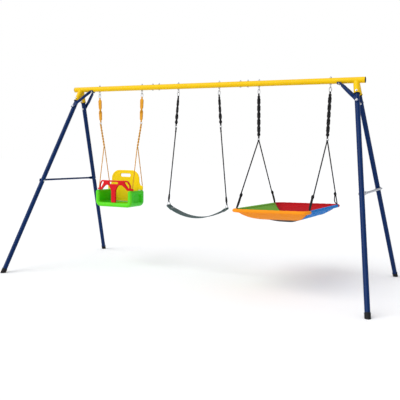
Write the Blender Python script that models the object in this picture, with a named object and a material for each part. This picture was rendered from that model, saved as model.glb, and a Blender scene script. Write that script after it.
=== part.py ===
"""A freestanding A-frame swing set with a toddler seat, a belt seat and a fabric platform.

Metres, +Z up. X runs along the beam, -Y is the front, and the origin is on the floor
under the middle of the beam.
"""

import math

import bmesh
import bpy
from mathutils import Euler, Vector

# ---- driving dimensions ----
GAP = 0.0003  # between pieces that touch
ROPE_GAP = 0.0005  # between a rope's end and the piece it hangs from

BEAM_Z = 1.775  # beam axis above the floor
BEAM_R = 0.025
BEAM_BORE_R = 0.0235
BEAM_END_X = 1.458
JOINT_X = (-0.455, 0.330)  # where the middle beam tube's body starts and ends
SPIGOT_LENGTH = 0.120
SPIGOT_WALL = 0.0017
JOINT_BOLTS_X = (-0.549, -0.480, 0.356, 0.428)
BOLT_HOLE_R = 0.0043
CAP_FLANGE = 0.004
CAP_PLUG = 0.020

APEX_X = 1.385  # where the legs' axes meet the beam's axis
FOOT_X = 1.691
FOOT_Y = 0.815
LEG_R = 0.021
LEG_BORE_R = 0.0195
LEG_START = 0.0705  # along the leg from the beam's axis
SOCKET_R = 0.025
SOCKET_BORE_R = 0.0213
SOCKET_BORE_START = 0.070
SOCKET_END = 0.132
FOOT_CAP_R = 0.0235
FOOT_CAP_TOP_Z = 0.036
LEG_END_Z = 0.016

BRACE_LEG_BOLT = 0.200  # along the leg
BRACE_INBOARD = 0.140  # along the beam, from the legs' apex
BRACE_R = 0.0145
BRACE_UNDER = 0.8  # how far round the beam's underside its top end sits
BRACE_TOP_FLAT = 0.016
BRACE_LOW_TIP = 0.018
BRACE_LOW_FLAT = 0.044
BRACE_BULGE = 0.004
CROSSBAR_Z = 0.863
CROSSBAR_R = 0.0095
FLAT_HALF_WIDTH = 0.015
FLAT_HALF_THICKNESS = 0.003

EYE_WIRE_R = 0.0035
EYE_R = 0.013
EYE_CENTRE_Z = 1.7293
EYE_SHANK_R = 0.004
EYE_NUT_R = 0.0075
EYE_NUT_HEIGHT = 0.007
TOP_LINK_WIRE_R = 0.003
TOP_LINK_LENGTH = 0.039  # between the centres of its two end bars
TOP_LINK_HALF_WIDTH = 0.010
LOW_LINK_WIRE_R = 0.0025
LOW_LINK_LENGTH = 0.028
LOW_LINK_HALF_WIDTH = 0.008
PIVOT_Z = EYE_CENTRE_Z - EYE_R + EYE_WIRE_R + TOP_LINK_WIRE_R + GAP
STRAP_TOP_Z = PIVOT_Z - TOP_LINK_LENGTH - TOP_LINK_WIRE_R - ROPE_GAP
STRAP_R = 0.009

TODDLER_X = -0.915
TODDLER_EYES = 0.245  # half the distance between the two eye bolts
TODDLER_LINK = 0.236  # the same, at the low links
TODDLER_ROPES = 0.195  # the same, at the forked ropes
TODDLER_STRAP_END_Z = 1.452
TODDLER_SPLIT_Z = 1.205
TODDLER_ROPE_R = 0.0045
TODDLER_TWIST_R = 0.008
TODDLER_FORK_R = 0.012
SEAT_HALF_WIDTH = 0.208
SEAT_FRONT_Y = -0.141
SEAT_BACK_Y = 0.109
SEAT_BOTTOM_Z = 0.612
SEAT_TOP_Z = 0.775
SEAT_WALL = 0.042
SEAT_SKIN = 0.006
SEAT_CORNER_R = 0.055
SEAT_POCKET = (0.140, 0.084, 0.0035)  # length, height and depth of the pocket in each side
FRONT_ROPE_Y = -0.095
BACK_ROPE_Y = 0.094
BACK_HALF_WIDTH = 0.151
BACK_TOP_Z = 0.972
BACK_CORNER_R = 0.075
BACK_THICKNESS = 0.014
BACK_Y = 0.089
BACK_LUG_Z = 0.820
BACK_SLOT = (0.118, 0.032, 0.921)  # width, height and centre height of the handle slot
GUARD_Y = -0.126
GUARD_THICKNESS = 0.020
GUARD_TOP_Z = 0.874
GUARD_BEND = 0.031  # how far its ends sit behind its middle
GUARD_HOLE_R = 0.0075
GUARD_STEM = ((0.029, 0.770), (0.040, 0.806), (0.066, 0.826))  # x and z, up one side
GUARD_ARM = ((0.100, 0.826), (0.132, 0.808))  # along the underside of one arm
GUARD_LUG = (0.156, 0.166, 0.190)  # x of its inner top, its inner foot and its outer shoulder
GUARD_LUG_HEIGHTS = (0.010, 0.022, 0.062)  # of its inner top, its outer edge and its shoulder
GUARD_TOP = ((0.158, -0.006), (0.140, 0.0))  # x, and z from the top
GUARD_SLOT = (0.100, 0.020, 0.846)  # width, height and centre height

BELT_X = -0.062
BELT_EYES = 0.210
BELT_LINK = 0.2315
BELT_RING = 0.305
BELT_STRAP_END_Z = 1.415
BELT_ROPE_R = 0.0055
RING_TOP_Z = 0.690
RING_WIRE_R = 0.0035
RING_HEIGHT = 0.044
RING_HALF_WIDTH = 0.036
RING_CORNER_R = 0.006
BELT_SAG = 0.098
BELT_HALF_WIDTH = 0.060
BELT_END_HALF_WIDTH = 0.032
BELT_THICKNESS = 0.007

PLATFORM_X = 0.8525
PLATFORM_EYES = 0.3195
PLATFORM_ROPES = 0.310
PLATFORM_STRAP_END_Z = 1.300
PLATFORM_ROPE_R = 0.0055
PLATFORM_FORK_R = 0.016
PLATFORM_STRAP_R = 0.011
RIM_Z = 0.686
RIM_R = 0.0125
RIM_BORE_R = 0.0110
RIM_HALF_Y = 0.600
RIM_CORNER_R = 0.055
RIM_ROPE_Y = 0.500
RIM_DRAIN_R = 0.003
RIM_DRAIN_X = 0.05  # off the middle of the back
MAT_THICKNESS = 0.006
MAT_STEPS = ((1.0, 0.0, 0.050), (0.79, -0.070, 0.045), (0.45, -0.100, 0.040))
PLATFORM_PITCH = -0.020  # the ropes' adjusters leave the front slightly high
PLATFORM_ROLL = -0.018  # and the right side too

BLACK = (0.012, 0.012, 0.013)
NAVY = (0.012, 0.030, 0.125)
YELLOW = (0.830, 0.520, 0.005)
STEEL = (0.550, 0.560, 0.580)
ORANGE = (0.820, 0.360, 0.040)
GREEN = (0.060, 0.560, 0.030)
RED = (0.640, 0.012, 0.020)
SLATE = (0.055, 0.085, 0.085)

SIDES = ((-1, "left"), (1, "right"))
ENDS = ((-1, "front"), (1, "back"))


# ---- helpers ----
def finish(name, color, roughness, metallic):
    """One Principled material."""
    material = bpy.data.materials.new(name)
    material.use_nodes = True
    shader = material.node_tree.nodes["Principled BSDF"]
    shader.inputs["Base Color"].default_value = (*color, 1.0)
    shader.inputs["Roughness"].default_value = roughness
    shader.inputs["Metallic"].default_value = metallic
    return material


def add_mesh(name, mesh, material):
    """Puts a mesh in the scene as a smooth-shaded object with one material."""
    mesh.shade_smooth()
    mesh.set_sharp_from_angle(angle=math.radians(35))
    piece = bpy.data.objects.new(name, mesh)
    if material and not mesh.materials:
        mesh.materials.append(material)
    bpy.context.scene.collection.objects.link(piece)
    return piece


def loft(name, ring_lists, material, loop=False):
    """Skins rings of equal length into one mesh. An open run is capped at both ends; every
    entry of ring_lists is a separate run."""
    shape = bmesh.new()
    for rings in ring_lists:
        rows = [[shape.verts.new(point) for point in ring] for ring in rings]
        following = rows[1:] + rows[:1] if loop else rows[1:]
        for row, after in zip(rows, following):
            for i in range(len(row)):
                j = (i + 1) % len(row)
                shape.faces.new((row[i], row[j], after[j], after[i]))
        if not loop:
            shape.faces.new(rows[0][::-1])
            shape.faces.new(rows[-1])
    bmesh.ops.recalc_face_normals(shape, faces=shape.faces)
    mesh = bpy.data.meshes.new(name)
    shape.to_mesh(mesh)
    shape.free()
    return add_mesh(name, mesh, material)


def square_to(axis, hint):
    """Two unit vectors square to axis, the first as near as possible to hint."""
    first = (hint - axis * hint.dot(axis)).normalized()
    return first, axis.cross(first).normalized()


def ring(centre, first, second, a, b, sides):
    """An ellipse of points round centre, with a flat side towards first and second."""
    turns = [2 * math.pi * (i + 0.5) / sides for i in range(sides)]
    return [centre + first * (a * math.cos(t)) + second * (b * math.sin(t)) for t in turns]


def turned_rings(start, axis, profile, sides):
    """Rings for a turned piece: profile lists (distance along axis, radius)."""
    hint = Vector((0, 0, 1)) if abs(axis.z) < 0.9 else Vector((1, 0, 0))
    first, second = square_to(axis, hint)
    return [ring(start + axis * s, first, second, r, r, sides) for s, r in profile]


def rod(name, start, axis, length, radius, sides, material=None):
    """A plain solid cylinder."""
    return loft(name, [turned_rings(start, axis, ((0, radius), (length, radius)), sides)], material)


def tube(name, start, axis, length, outer, bore, sides, material):
    """A tube that is open at both ends."""
    profile = ((0, outer), (length, outer), (length, bore), (0, bore))
    return loft(name, [turned_rings(start, axis, profile, sides)], material, loop=True)


def boolean(piece, operation, *tools):
    """Joins tools to a piece or cuts it with them, exactly."""
    for tool in tools:
        tool.hide_render = True
        tool.display_type = "WIRE"
        modifier = piece.modifiers.new(operation.lower(), "BOOLEAN")
        modifier.operation = operation
        modifier.solver = "EXACT"
        modifier.object = tool


def pivot(name, place, carrier=None):
    """An empty on a joint's axis. carrier is the joint that carries it."""
    empty = bpy.data.objects.new(name, None)
    bpy.context.scene.collection.objects.link(empty)
    empty.location = place
    if carrier:
        hang(empty, carrier)
    bpy.context.view_layer.update()
    return empty


def hang(piece, empty):
    """Parents a piece to a joint's empty and leaves it where it was made."""
    piece.parent = empty
    piece.matrix_parent_inverse = empty.matrix_world.inverted()
    return piece


def outline_plate(name, outline, y, thickness, material):
    """An outline in X and Z given a thickness in Y."""
    faces = [[Vector((x, y + offset, z)) for x, z in outline] for offset in (-thickness / 2, thickness / 2)]
    return loft(name, [faces], material)


def bow(piece, middle_x, spacing, depth, half_span):
    """Bends a plate back on both sides of middle_x, in flat strips spacing wide. depth is how
    far back it reaches at half_span from the middle."""
    shape = bmesh.new()
    shape.from_mesh(piece.data)
    count = math.ceil(half_span / spacing)
    for k in range(-count, count + 1):
        parts = shape.verts[:] + shape.edges[:] + shape.faces[:]
        place = (middle_x + k * spacing, 0, 0)
        bmesh.ops.bisect_plane(shape, geom=parts, plane_co=place, plane_no=(1, 0, 0))
    for vert in shape.verts:
        strips = abs(vert.co.x - middle_x) / spacing
        near = math.floor(strips)
        curve = [depth * (k * spacing / half_span) ** 2 for k in (near, near + 1)]
        vert.co.y += curve[0] + (curve[1] - curve[0]) * (strips - near)
    shape.to_mesh(piece.data)
    shape.free()


def arc(cx, cz, radius, from_deg, to_deg, steps):
    """Points of an arc in X and Z."""
    turns = [math.radians(from_deg + (to_deg - from_deg) * i / steps) for i in range(steps + 1)]
    return [(cx + radius * math.cos(t), cz + radius * math.sin(t)) for t in turns]


def rounded_box(name, centre, size, radius, along, steps=3):
    """A box whose four edges along one axis (0 for X, 1 for Y) are rounded."""
    half = Vector(size) / 2
    across = 1 - along
    inner_a, inner_z = half[across] - radius, half.z - radius
    section = []
    for k, (sa, sz) in enumerate(((1, 1), (-1, 1), (-1, -1), (1, -1))):
        section += arc(sa * inner_a, sz * inner_z, radius, 90 * k, 90 * k + 90, steps)

    def end(offset):
        points = []
        for a, z in section:
            point = Vector((0.0, 0.0, z))
            point[across] = a
            point[along] = offset
            points.append(Vector(centre) + point)
        return points

    return loft(name, [[end(-half[along]), end(half[along])]], None)


def closed_wire(name, path, normal, wire_r, material, sides=8):
    """A wire bent round a closed, flat path."""
    rings = []
    count = len(path)
    for i, point in enumerate(path):
        along = (path[(i + 1) % count] - path[i - 1]).normalized()
        rings.append(ring(point, normal, along.cross(normal), wire_r, wire_r, sides))
    return loft(name, [rings], material, loop=True)


def rope(name, points, radius, material, empty):
    """A rope: a tube on a poly spline, with filled ends."""
    curve = bpy.data.curves.new(name, "CURVE")
    curve.dimensions = "3D"
    curve.bevel_depth = radius
    curve.bevel_resolution = 2
    curve.use_fill_caps = True
    spline = curve.splines.new("POLY")
    spline.points.add(len(points) - 1)
    for spot, point in zip(spline.points, points):
        spot.co = (*point, 1.0)
    curve.materials.append(material)
    piece = bpy.data.objects.new(name, curve)
    bpy.context.scene.collection.objects.link(piece)
    return hang(piece, empty)


def straight(start, end, step):
    """Points from start to end, about a step apart, both ends included."""
    count = max(2, round((end - start).length / step))
    return [start.lerp(end, i / count) for i in range(count + 1)]


def forked_route(x, top_z, fork_r, front, back, step):
    """A rope's route in the plane X = x: up from front (y, z), round a bend whose top is at
    top_z, and down to back (y, z)."""
    centre = Vector((0.0, top_z - fork_r))
    legs = []
    for side, (y, z) in ((1, front), (-1, back)):
        foot = Vector((y, z))
        away = centre - foot
        turn = math.atan2(away.y, away.x) + side * math.asin(fork_r / away.length)
        reach = math.sqrt(away.length_squared - fork_r * fork_r)
        legs.append((foot, foot + reach * Vector((math.cos(turn), math.sin(turn)))))
    (front_foot, front_touch), (back_foot, back_touch) = legs
    start = math.atan2(front_touch.y - centre.y, front_touch.x - centre.x)
    end = math.atan2(back_touch.y - centre.y, back_touch.x - centre.x)
    flat = straight(front_foot, front_touch, step)
    for i in range(1, 8):
        t = start + (end - start) * i / 8
        flat.append(centre + fork_r * Vector((math.cos(t), math.sin(t))))
    flat += straight(back_touch, back_foot, step)
    return [Vector((x, y, z)) for y, z in flat]


# ---- stand ----
def leg_axis(side, end):
    """The unit vector down a leg from the beam's axis."""
    return Vector((side * (FOOT_X - APEX_X), end * FOOT_Y, -BEAM_Z)).normalized()


def leg_point(side, end, distance):
    """A point on a leg's axis, at a distance from the beam's axis."""
    return Vector((side * APEX_X, 0, BEAM_Z)) + leg_axis(side, end) * distance


def distance_at(z):
    """How far down a leg its axis reaches a height."""
    return (BEAM_Z - z) / -leg_axis(1, 1).z


def make_beam(paint, plastic):
    """Three beam tubes that plug together. The outer two carry the legs' sockets."""
    along = Vector((1, 0, 0))
    down = Vector((0, 0, -1))
    eyes = [TODDLER_X - TODDLER_EYES, TODDLER_X + TODDLER_EYES, BELT_X - BELT_EYES]
    eyes += [BELT_X + BELT_EYES, PLATFORM_X - PLATFORM_EYES, PLATFORM_X + PLATFORM_EYES]
    spots = {}
    for name, low, high in (
        ("beam_left", -BEAM_END_X, JOINT_X[0]),
        ("beam_middle", JOINT_X[0] - SPIGOT_LENGTH, JOINT_X[1] + SPIGOT_LENGTH),
        ("beam_right", JOINT_X[1], BEAM_END_X),
    ):
        spots[name] = [x for x in (*eyes, *JOINT_BOLTS_X) if low < x < high]

    for side, word in SIDES:
        name = f"beam_{word}"
        low, high = (-BEAM_END_X, JOINT_X[0]) if side < 0 else (JOINT_X[1], BEAM_END_X)
        beam = rod(name, Vector((low, 0, BEAM_Z)), along, high - low, BEAM_R, 32, paint)
        bores = []
        for end, end_word in ENDS:
            axis = leg_axis(side, end)
            sides = 28 + 2 * end  # so that no edge of one socket lies on an edge of the other
            socket = rod(
                f"cut_socket_{word}_{end_word}", leg_point(side, end, 0), axis, SOCKET_END, SOCKET_R, sides
            )
            boolean(beam, "UNION", socket)
            start = leg_point(side, end, SOCKET_BORE_START)
            bores.append(
                rod(f"cut_leg_{word}_{end_word}", start, axis, SOCKET_END, SOCKET_BORE_R, 28)
            )
        bore = rod(
            f"cut_bore_{word}", Vector((low - 0.01, 0, BEAM_Z)), along, high - low + 0.02, BEAM_BORE_R, 32
        )
        boolean(beam, "DIFFERENCE", bore, *bores, *bolt_holes(word, spots[name], down))

    low, high = JOINT_X[0] + GAP, JOINT_X[1] - GAP
    spigot_r = BEAM_BORE_R - GAP
    inner_r = spigot_r - SPIGOT_WALL
    taper = 0.008
    reach = SPIGOT_LENGTH
    profile = (
        (-reach, spigot_r), (0, spigot_r), (0, BEAM_R), (high - low, BEAM_R), (high - low, spigot_r),
        (high - low + reach, spigot_r), (high - low + reach, inner_r), (high - low - taper, inner_r),
        (high - low - taper, BEAM_BORE_R), (taper, BEAM_BORE_R), (taper, inner_r), (-reach, inner_r),
    )
    rings = turned_rings(Vector((low, 0, BEAM_Z)), along, profile, 32)
    middle = loft("beam_middle", [rings], paint, loop=True)
    boolean(middle, "DIFFERENCE", *bolt_holes("middle", spots["beam_middle"], down))

    for side, word in SIDES:
        start = Vector((side * (BEAM_END_X + CAP_FLANGE + GAP), 0, BEAM_Z))
        plug = BEAM_BORE_R - GAP
        profile = ((0, BEAM_R - 0.002), (0.002, BEAM_R), (CAP_FLANGE, BEAM_R), (CAP_FLANGE, plug),
                   (CAP_FLANGE + CAP_PLUG, plug - 0.001))
        rings = turned_rings(start, Vector((-side, 0, 0)), profile, 32)
        loft(f"beam_cap_{word}", [rings], plastic)
    return eyes


def bolt_holes(word, places, down):
    """One cutter for every vertical bolt through a beam tube."""
    cutters = []
    for i, x in enumerate(places):
        top = Vector((x, 0, BEAM_Z + 0.04))
        cutters.append(rod(f"cut_bolt_{word}_{i}", top, down, 0.08, BOLT_HOLE_R, 12))
    return cutters


def make_legs(paint, plastic):
    """Four hollow legs in their sockets, each on a cup-shaped foot cap cut level below."""
    for side, word in SIDES:
        for end, end_word in ENDS:
            axis = leg_axis(side, end)
            place = f"{word}_{end_word}"
            start = leg_point(side, end, LEG_START)
            length = distance_at(LEG_END_Z) - LEG_START
            tube(f"leg_{place}", start, axis, length, LEG_R, LEG_BORE_R, 24, paint)

            top = distance_at(FOOT_CAP_TOP_Z)
            depth = distance_at(LEG_END_Z) - top + 0.0005
            cap = rod(
                f"foot_cap_{place}", leg_point(side, end, top), axis, 0.08, FOOT_CAP_R, 24, plastic
            )
            bore = rod(
                f"cut_foot_{place}", leg_point(side, end, top - 0.05), axis, 0.05 + depth, LEG_R + GAP, 24
            )
            floor = rounded_box(
                f"cut_floor_{place}", (side * FOOT_X, end * FOOT_Y, -0.1), (0.2, 0.2, 0.2), 0.01, 0
            )
            boolean(cap, "DIFFERENCE", bore, floor)


def flat_ended_bar(name, stations, radius, material):
    """A round bar with flattened ends. Each station is (point, flat's normal, roundness)."""
    rings = []
    for i, (point, normal, round_share) in enumerate(stations):
        before = stations[max(i - 1, 0)][0]
        after = stations[min(i + 1, len(stations) - 1)][0]
        thin, wide = square_to((after - before).normalized(), normal)
        a = FLAT_HALF_THICKNESS + (radius - FLAT_HALF_THICKNESS) * round_share
        b = FLAT_HALF_WIDTH + (radius - FLAT_HALF_WIDTH) * round_share
        rings.append(ring(point, thin, wide, a, b, 12))
    return loft(name, [rings], material)


def make_braces(paint):
    """A knee brace from the outer face of each leg to the beam's lower quarter."""
    for side, word in SIDES:
        for end, end_word in ENDS:
            axis = leg_axis(side, end)
            face, _ = square_to(axis, Vector((0, end, 0)))
            bolt = leg_point(side, end, BRACE_LEG_BOLT) + face * (LEG_R + FLAT_HALF_THICKNESS + GAP)
            under = Vector((0, end * BRACE_UNDER, -1)).normalized()
            off_beam = under * (BEAM_R + FLAT_HALF_THICKNESS + GAP)
            beam_spot = Vector((side * (APEX_X - BRACE_INBOARD), 0, BEAM_Z)) + off_beam
            tip = beam_spot - Vector((side * BRACE_TOP_FLAT, 0, 0))
            heel = beam_spot + Vector((side * BRACE_TOP_FLAT * 0.75, 0, 0))
            along = (heel - bolt).normalized()
            low_tip = bolt - along * BRACE_LOW_TIP
            low_heel = bolt + along * BRACE_LOW_FLAT
            bulge = (face + under) * BRACE_BULGE
            stations = [
                (low_tip, face, 0), (low_heel, face, 0),
                (low_heel.lerp(heel, 0.18) + bulge, face, 0.9),
                (low_heel.lerp(heel, 0.5) + bulge, (face + under) / 2, 1),
                (low_heel.lerp(heel, 0.82) + bulge, under, 0.9),
                (heel, under, 0), (tip, under, 0),
            ]
            flat_ended_bar(f"brace_{word}_{end_word}", stations, BRACE_R, paint)


def make_crossbars(paint):
    """A bar across the outer side of each A-frame."""
    for side, word in SIDES:
        half = []
        for end in (-1, 1):
            axis = leg_axis(side, end)
            outboard, _ = square_to(axis, Vector((side, 0, 0)))
            spot = leg_point(side, end, distance_at(CROSSBAR_Z))
            spot = spot + outboard * (LEG_R + FLAT_HALF_THICKNESS + GAP)
            inward = Vector((0, -end, 0))
            half.append([
                (spot - inward * 0.018, outboard, 0), (spot + inward * 0.024, outboard, 0),
                (spot + inward * 0.062 + Vector((side * 0.004, 0, 0)), outboard, 1),
            ])
        stations = half[0] + half[1][::-1]
        flat_ended_bar(f"crossbar_{word}", stations, CROSSBAR_R, paint)


def make_eye_bolts(eyes, steel):
    """An eye bolt up through the beam at each place, with its nut on top."""
    steps = 16
    base = EYE_CENTRE_Z + EYE_R - 0.001
    nut = BEAM_Z + BEAM_R + 0.0005 - base
    top = nut + EYE_NUT_HEIGHT
    profile = (
        (0, EYE_SHANK_R), (nut, EYE_SHANK_R), (nut, EYE_NUT_R), (top, EYE_NUT_R),
        (top, EYE_SHANK_R), (top + 0.006, EYE_SHANK_R),
    )
    turns = [2 * math.pi * k / steps for k in range(steps)]
    for i, x in enumerate(eyes):
        path = [Vector((x, EYE_R * math.cos(t), EYE_CENTRE_Z + EYE_R * math.sin(t))) for t in turns]
        eye = closed_wire(f"eye_bolt_{i + 1}", path, Vector((1, 0, 0)), EYE_WIRE_R, steel)
        rings = turned_rings(Vector((x, 0, base)), Vector((0, 0, 1)), profile, 12)
        boolean(eye, "UNION", loft(f"cut_shank_{i + 1}", [rings], None))


# ---- what every swing hangs from ----
def oval_path(length, half_width, steps):
    """A closed oval in X and Z, whose top end is at the origin."""
    top = [(x, z - half_width) for x, z in arc(0, 0, half_width, 0, 180, steps)]
    low = [(x, z - length + half_width) for x, z in arc(0, 0, half_width, 180, 360, steps)]
    return [Vector((x, 0, z)) for x, z in top + low]


def make_hangers(word, x, eyes_half, link_half, strap_end_z, strap_r, steel, webbing, swing):
    """Both top links, straps and low links of one swing."""
    top_path = oval_path(TOP_LINK_LENGTH, TOP_LINK_HALF_WIDTH, 6)
    low_path = oval_path(LOW_LINK_LENGTH, LOW_LINK_HALF_WIDTH, 6)
    low_z = strap_end_z - ROPE_GAP - LOW_LINK_WIRE_R
    for side, side_word in SIDES:
        top = Vector((x + side * eyes_half, 0, PIVOT_Z))
        low = Vector((x + side * link_half, 0, low_z))
        path = [top + point for point in top_path]
        link = closed_wire(f"{word}_top_link_{side_word}", path, Vector((0, 1, 0)), TOP_LINK_WIRE_R, steel)
        hang(link, swing)
        path = [low + point for point in low_path]
        link = closed_wire(f"{word}_low_link_{side_word}", path, Vector((0, 1, 0)), LOW_LINK_WIRE_R, steel)
        hang(link, swing)
        route = straight(Vector((top.x, 0, STRAP_TOP_Z)), Vector((low.x, 0, strap_end_z)), 0.045)
        rope(f"{word}_strap_{side_word}", route, strap_r, webbing, swing)
    return low_z - LOW_LINK_LENGTH


# ---- toddler swing ----
def make_toddler(steel, cord, shell_plastic, back_plastic, guard_plastic):
    swing = pivot("toddler_swing_axis", (TODDLER_X, 0, PIVOT_Z))
    tilt_z = make_hangers(
        "toddler", TODDLER_X, TODDLER_EYES, TODDLER_LINK, TODDLER_STRAP_END_Z, STRAP_R, steel, cord, swing
    )
    seat = pivot("toddler_seat_axis", (TODDLER_X, 0, tilt_z), swing)
    twist_top = tilt_z - LOW_LINK_WIRE_R - ROPE_GAP
    twist_end = TODDLER_SPLIT_Z + TODDLER_ROPE_R + ROPE_GAP
    front = (FRONT_ROPE_Y, SEAT_TOP_Z + 0.0025)
    back = (BACK_ROPE_Y, BACK_LUG_Z + 0.0020)
    for side, word in SIDES:
        start = Vector((TODDLER_X + side * TODDLER_LINK, 0, twist_top))
        end = Vector((TODDLER_X + side * TODDLER_ROPES, 0, twist_end))
        rope(f"toddler_twist_{word}", straight(start, end, 0.04), TODDLER_TWIST_R, cord, seat)
        x = TODDLER_X + side * TODDLER_ROPES
        route = forked_route(x, TODDLER_SPLIT_Z, TODDLER_FORK_R, front, back, 0.027)
        rope(f"toddler_rope_{word}", route, TODDLER_ROPE_R, cord, seat)
    make_seat_shell(shell_plastic, seat)
    make_backrest(back_plastic, seat)
    make_guard(guard_plastic, seat, front, Vector((route[1].y - route[0].y, route[1].z - route[0].z)))


def u_section(inset):
    """The seat's U-shaped section in X and Z, made thinner by inset on every face."""
    outer = SEAT_HALF_WIDTH - inset
    inner = SEAT_HALF_WIDTH - SEAT_WALL + inset
    bottom = SEAT_BOTTOM_Z + inset
    floor = SEAT_BOTTOM_Z + SEAT_WALL - inset
    top = SEAT_TOP_Z - inset
    corner = SEAT_CORNER_R - inset
    inside = max(corner - SEAT_WALL + 2 * inset, 0.012)
    right = [(inner, top), (outer, top)] + arc(outer - corner, bottom + corner, corner, 0, -90, 5)
    left = [(-x, z) for x, z in right[::-1]]
    hollow = arc(-inner + inside, floor + inside, inside, 180, 270, 3)
    hollow += arc(inner - inside, floor + inside, inside, 270, 360, 3)
    return [(TODDLER_X + x, z) for x, z in right + left + hollow]


def make_seat_shell(plastic, seat):
    """A moulded bucket: a floor and two side wings, double-walled and open at the back."""
    length = SEAT_BACK_Y - SEAT_FRONT_Y
    middle = (SEAT_BACK_Y + SEAT_FRONT_Y) / 2
    shell = outline_plate("toddler_seat_shell", u_section(0), middle, length, plastic)
    core = outline_plate("cut_seat_core", u_section(SEAT_SKIN), middle + SEAT_SKIN, length, None)
    bevel = shell.modifiers.new("soft_edges", "BEVEL")
    bevel.width = 0.005
    bevel.segments = 2
    bevel.limit_method = "ANGLE"
    bevel.angle_limit = math.radians(50)
    boolean(shell, "DIFFERENCE", core)
    pocket_length, pocket_height, pocket_depth = SEAT_POCKET
    for side, word in SIDES:
        centre = (TODDLER_X + side * SEAT_HALF_WIDTH, middle, SEAT_TOP_Z - 0.078)
        size = (2 * pocket_depth, pocket_length, pocket_height)
        pocket = rounded_box(f"cut_pocket_{word}", centre, size, 0.012, 0)
        boolean(shell, "DIFFERENCE", pocket)
    hang(shell, seat)


def make_backrest(plastic, seat):
    """A rounded panel with a handle slot and a lug over each wing for the back ropes."""
    base = SEAT_BOTTOM_Z + SEAT_WALL + 0.0005
    lug_base = SEAT_TOP_Z + 0.0005
    corner = BACK_CORNER_R
    right = [(BACK_HALF_WIDTH, base), (BACK_HALF_WIDTH, lug_base), (SEAT_HALF_WIDTH, lug_base)]
    right += [(SEAT_HALF_WIDTH, BACK_LUG_Z - 0.012), (SEAT_HALF_WIDTH - 0.010, BACK_LUG_Z)]
    right += [(BACK_HALF_WIDTH + 0.016, BACK_LUG_Z), (BACK_HALF_WIDTH, BACK_LUG_Z + 0.030)]
    right += arc(BACK_HALF_WIDTH - corner, BACK_TOP_Z - corner, corner, 0, 90, 6)
    left = [(-x, z) for x, z in right[::-1]]
    outline = [(TODDLER_X + x, z) for x, z in right + left]
    panel = outline_plate("toddler_backrest", outline, BACK_Y, BACK_THICKNESS, plastic)
    width, height, z = BACK_SLOT
    slot = rounded_box("cut_handle", (TODDLER_X, BACK_Y, z), (width, 0.06, height), height * 0.45, 1)
    boolean(panel, "DIFFERENCE", slot)
    hang(panel, seat)


def make_guard(plastic, seat, front, up_rope):
    """The T-shaped guard: a bar over the lap, two arms with a hole for each front rope, and a
    stem down to the floor between the legs."""
    lap = pivot("toddler_guard_axis", (TODDLER_X, FRONT_ROPE_Y, front[1]), seat)
    top = GUARD_TOP_Z
    stem_end = SEAT_BOTTOM_Z + SEAT_WALL + 0.0010
    lug = SEAT_TOP_Z + 0.0008
    outer = SEAT_HALF_WIDTH - 0.002
    inner, foot, shoulder = GUARD_LUG
    inner_rise, edge_rise, shoulder_rise = GUARD_LUG_HEIGHTS
    right = [(GUARD_STEM[0][0], stem_end), *GUARD_STEM, *GUARD_ARM, (inner, lug + inner_rise), (foot, lug)]
    right += [(outer, lug), (outer, lug + edge_rise), (shoulder, lug + shoulder_rise)]
    right += [(x, top + z) for x, z in GUARD_TOP]
    left = [(-x, z) for x, z in right[::-1]]
    outline = [(TODDLER_X + x, z) for x, z in right + left]
    guard = outline_plate("toddler_guard", outline, GUARD_Y, GUARD_THICKNESS, plastic)
    bow(guard, TODDLER_X, 0.035, GUARD_BEND, TODDLER_ROPES)
    width, height, slot_z = GUARD_SLOT
    slot = rounded_box("cut_guard_slot", (TODDLER_X, GUARD_Y, slot_z), (width, 0.08, height), height * 0.4, 1)
    boolean(guard, "DIFFERENCE", slot)
    along = Vector((0, up_rope.x, up_rope.y)).normalized()
    for side, word in SIDES:
        foot = Vector((TODDLER_X + side * TODDLER_ROPES, front[0], front[1]))
        hole = rod(f"cut_rope_hole_{word}", foot - along * 0.03, along, 0.12, GUARD_HOLE_R, 12)
        boolean(guard, "DIFFERENCE", hole)
    hang(guard, lap)


# ---- belt swing ----
def belt_point(x):
    """A point on the belt's hanging curve, by its distance from the middle."""
    return RING_TOP_Z - RING_HEIGHT - BELT_SAG * (1 - (x / BELT_RING) ** 2)


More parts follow.
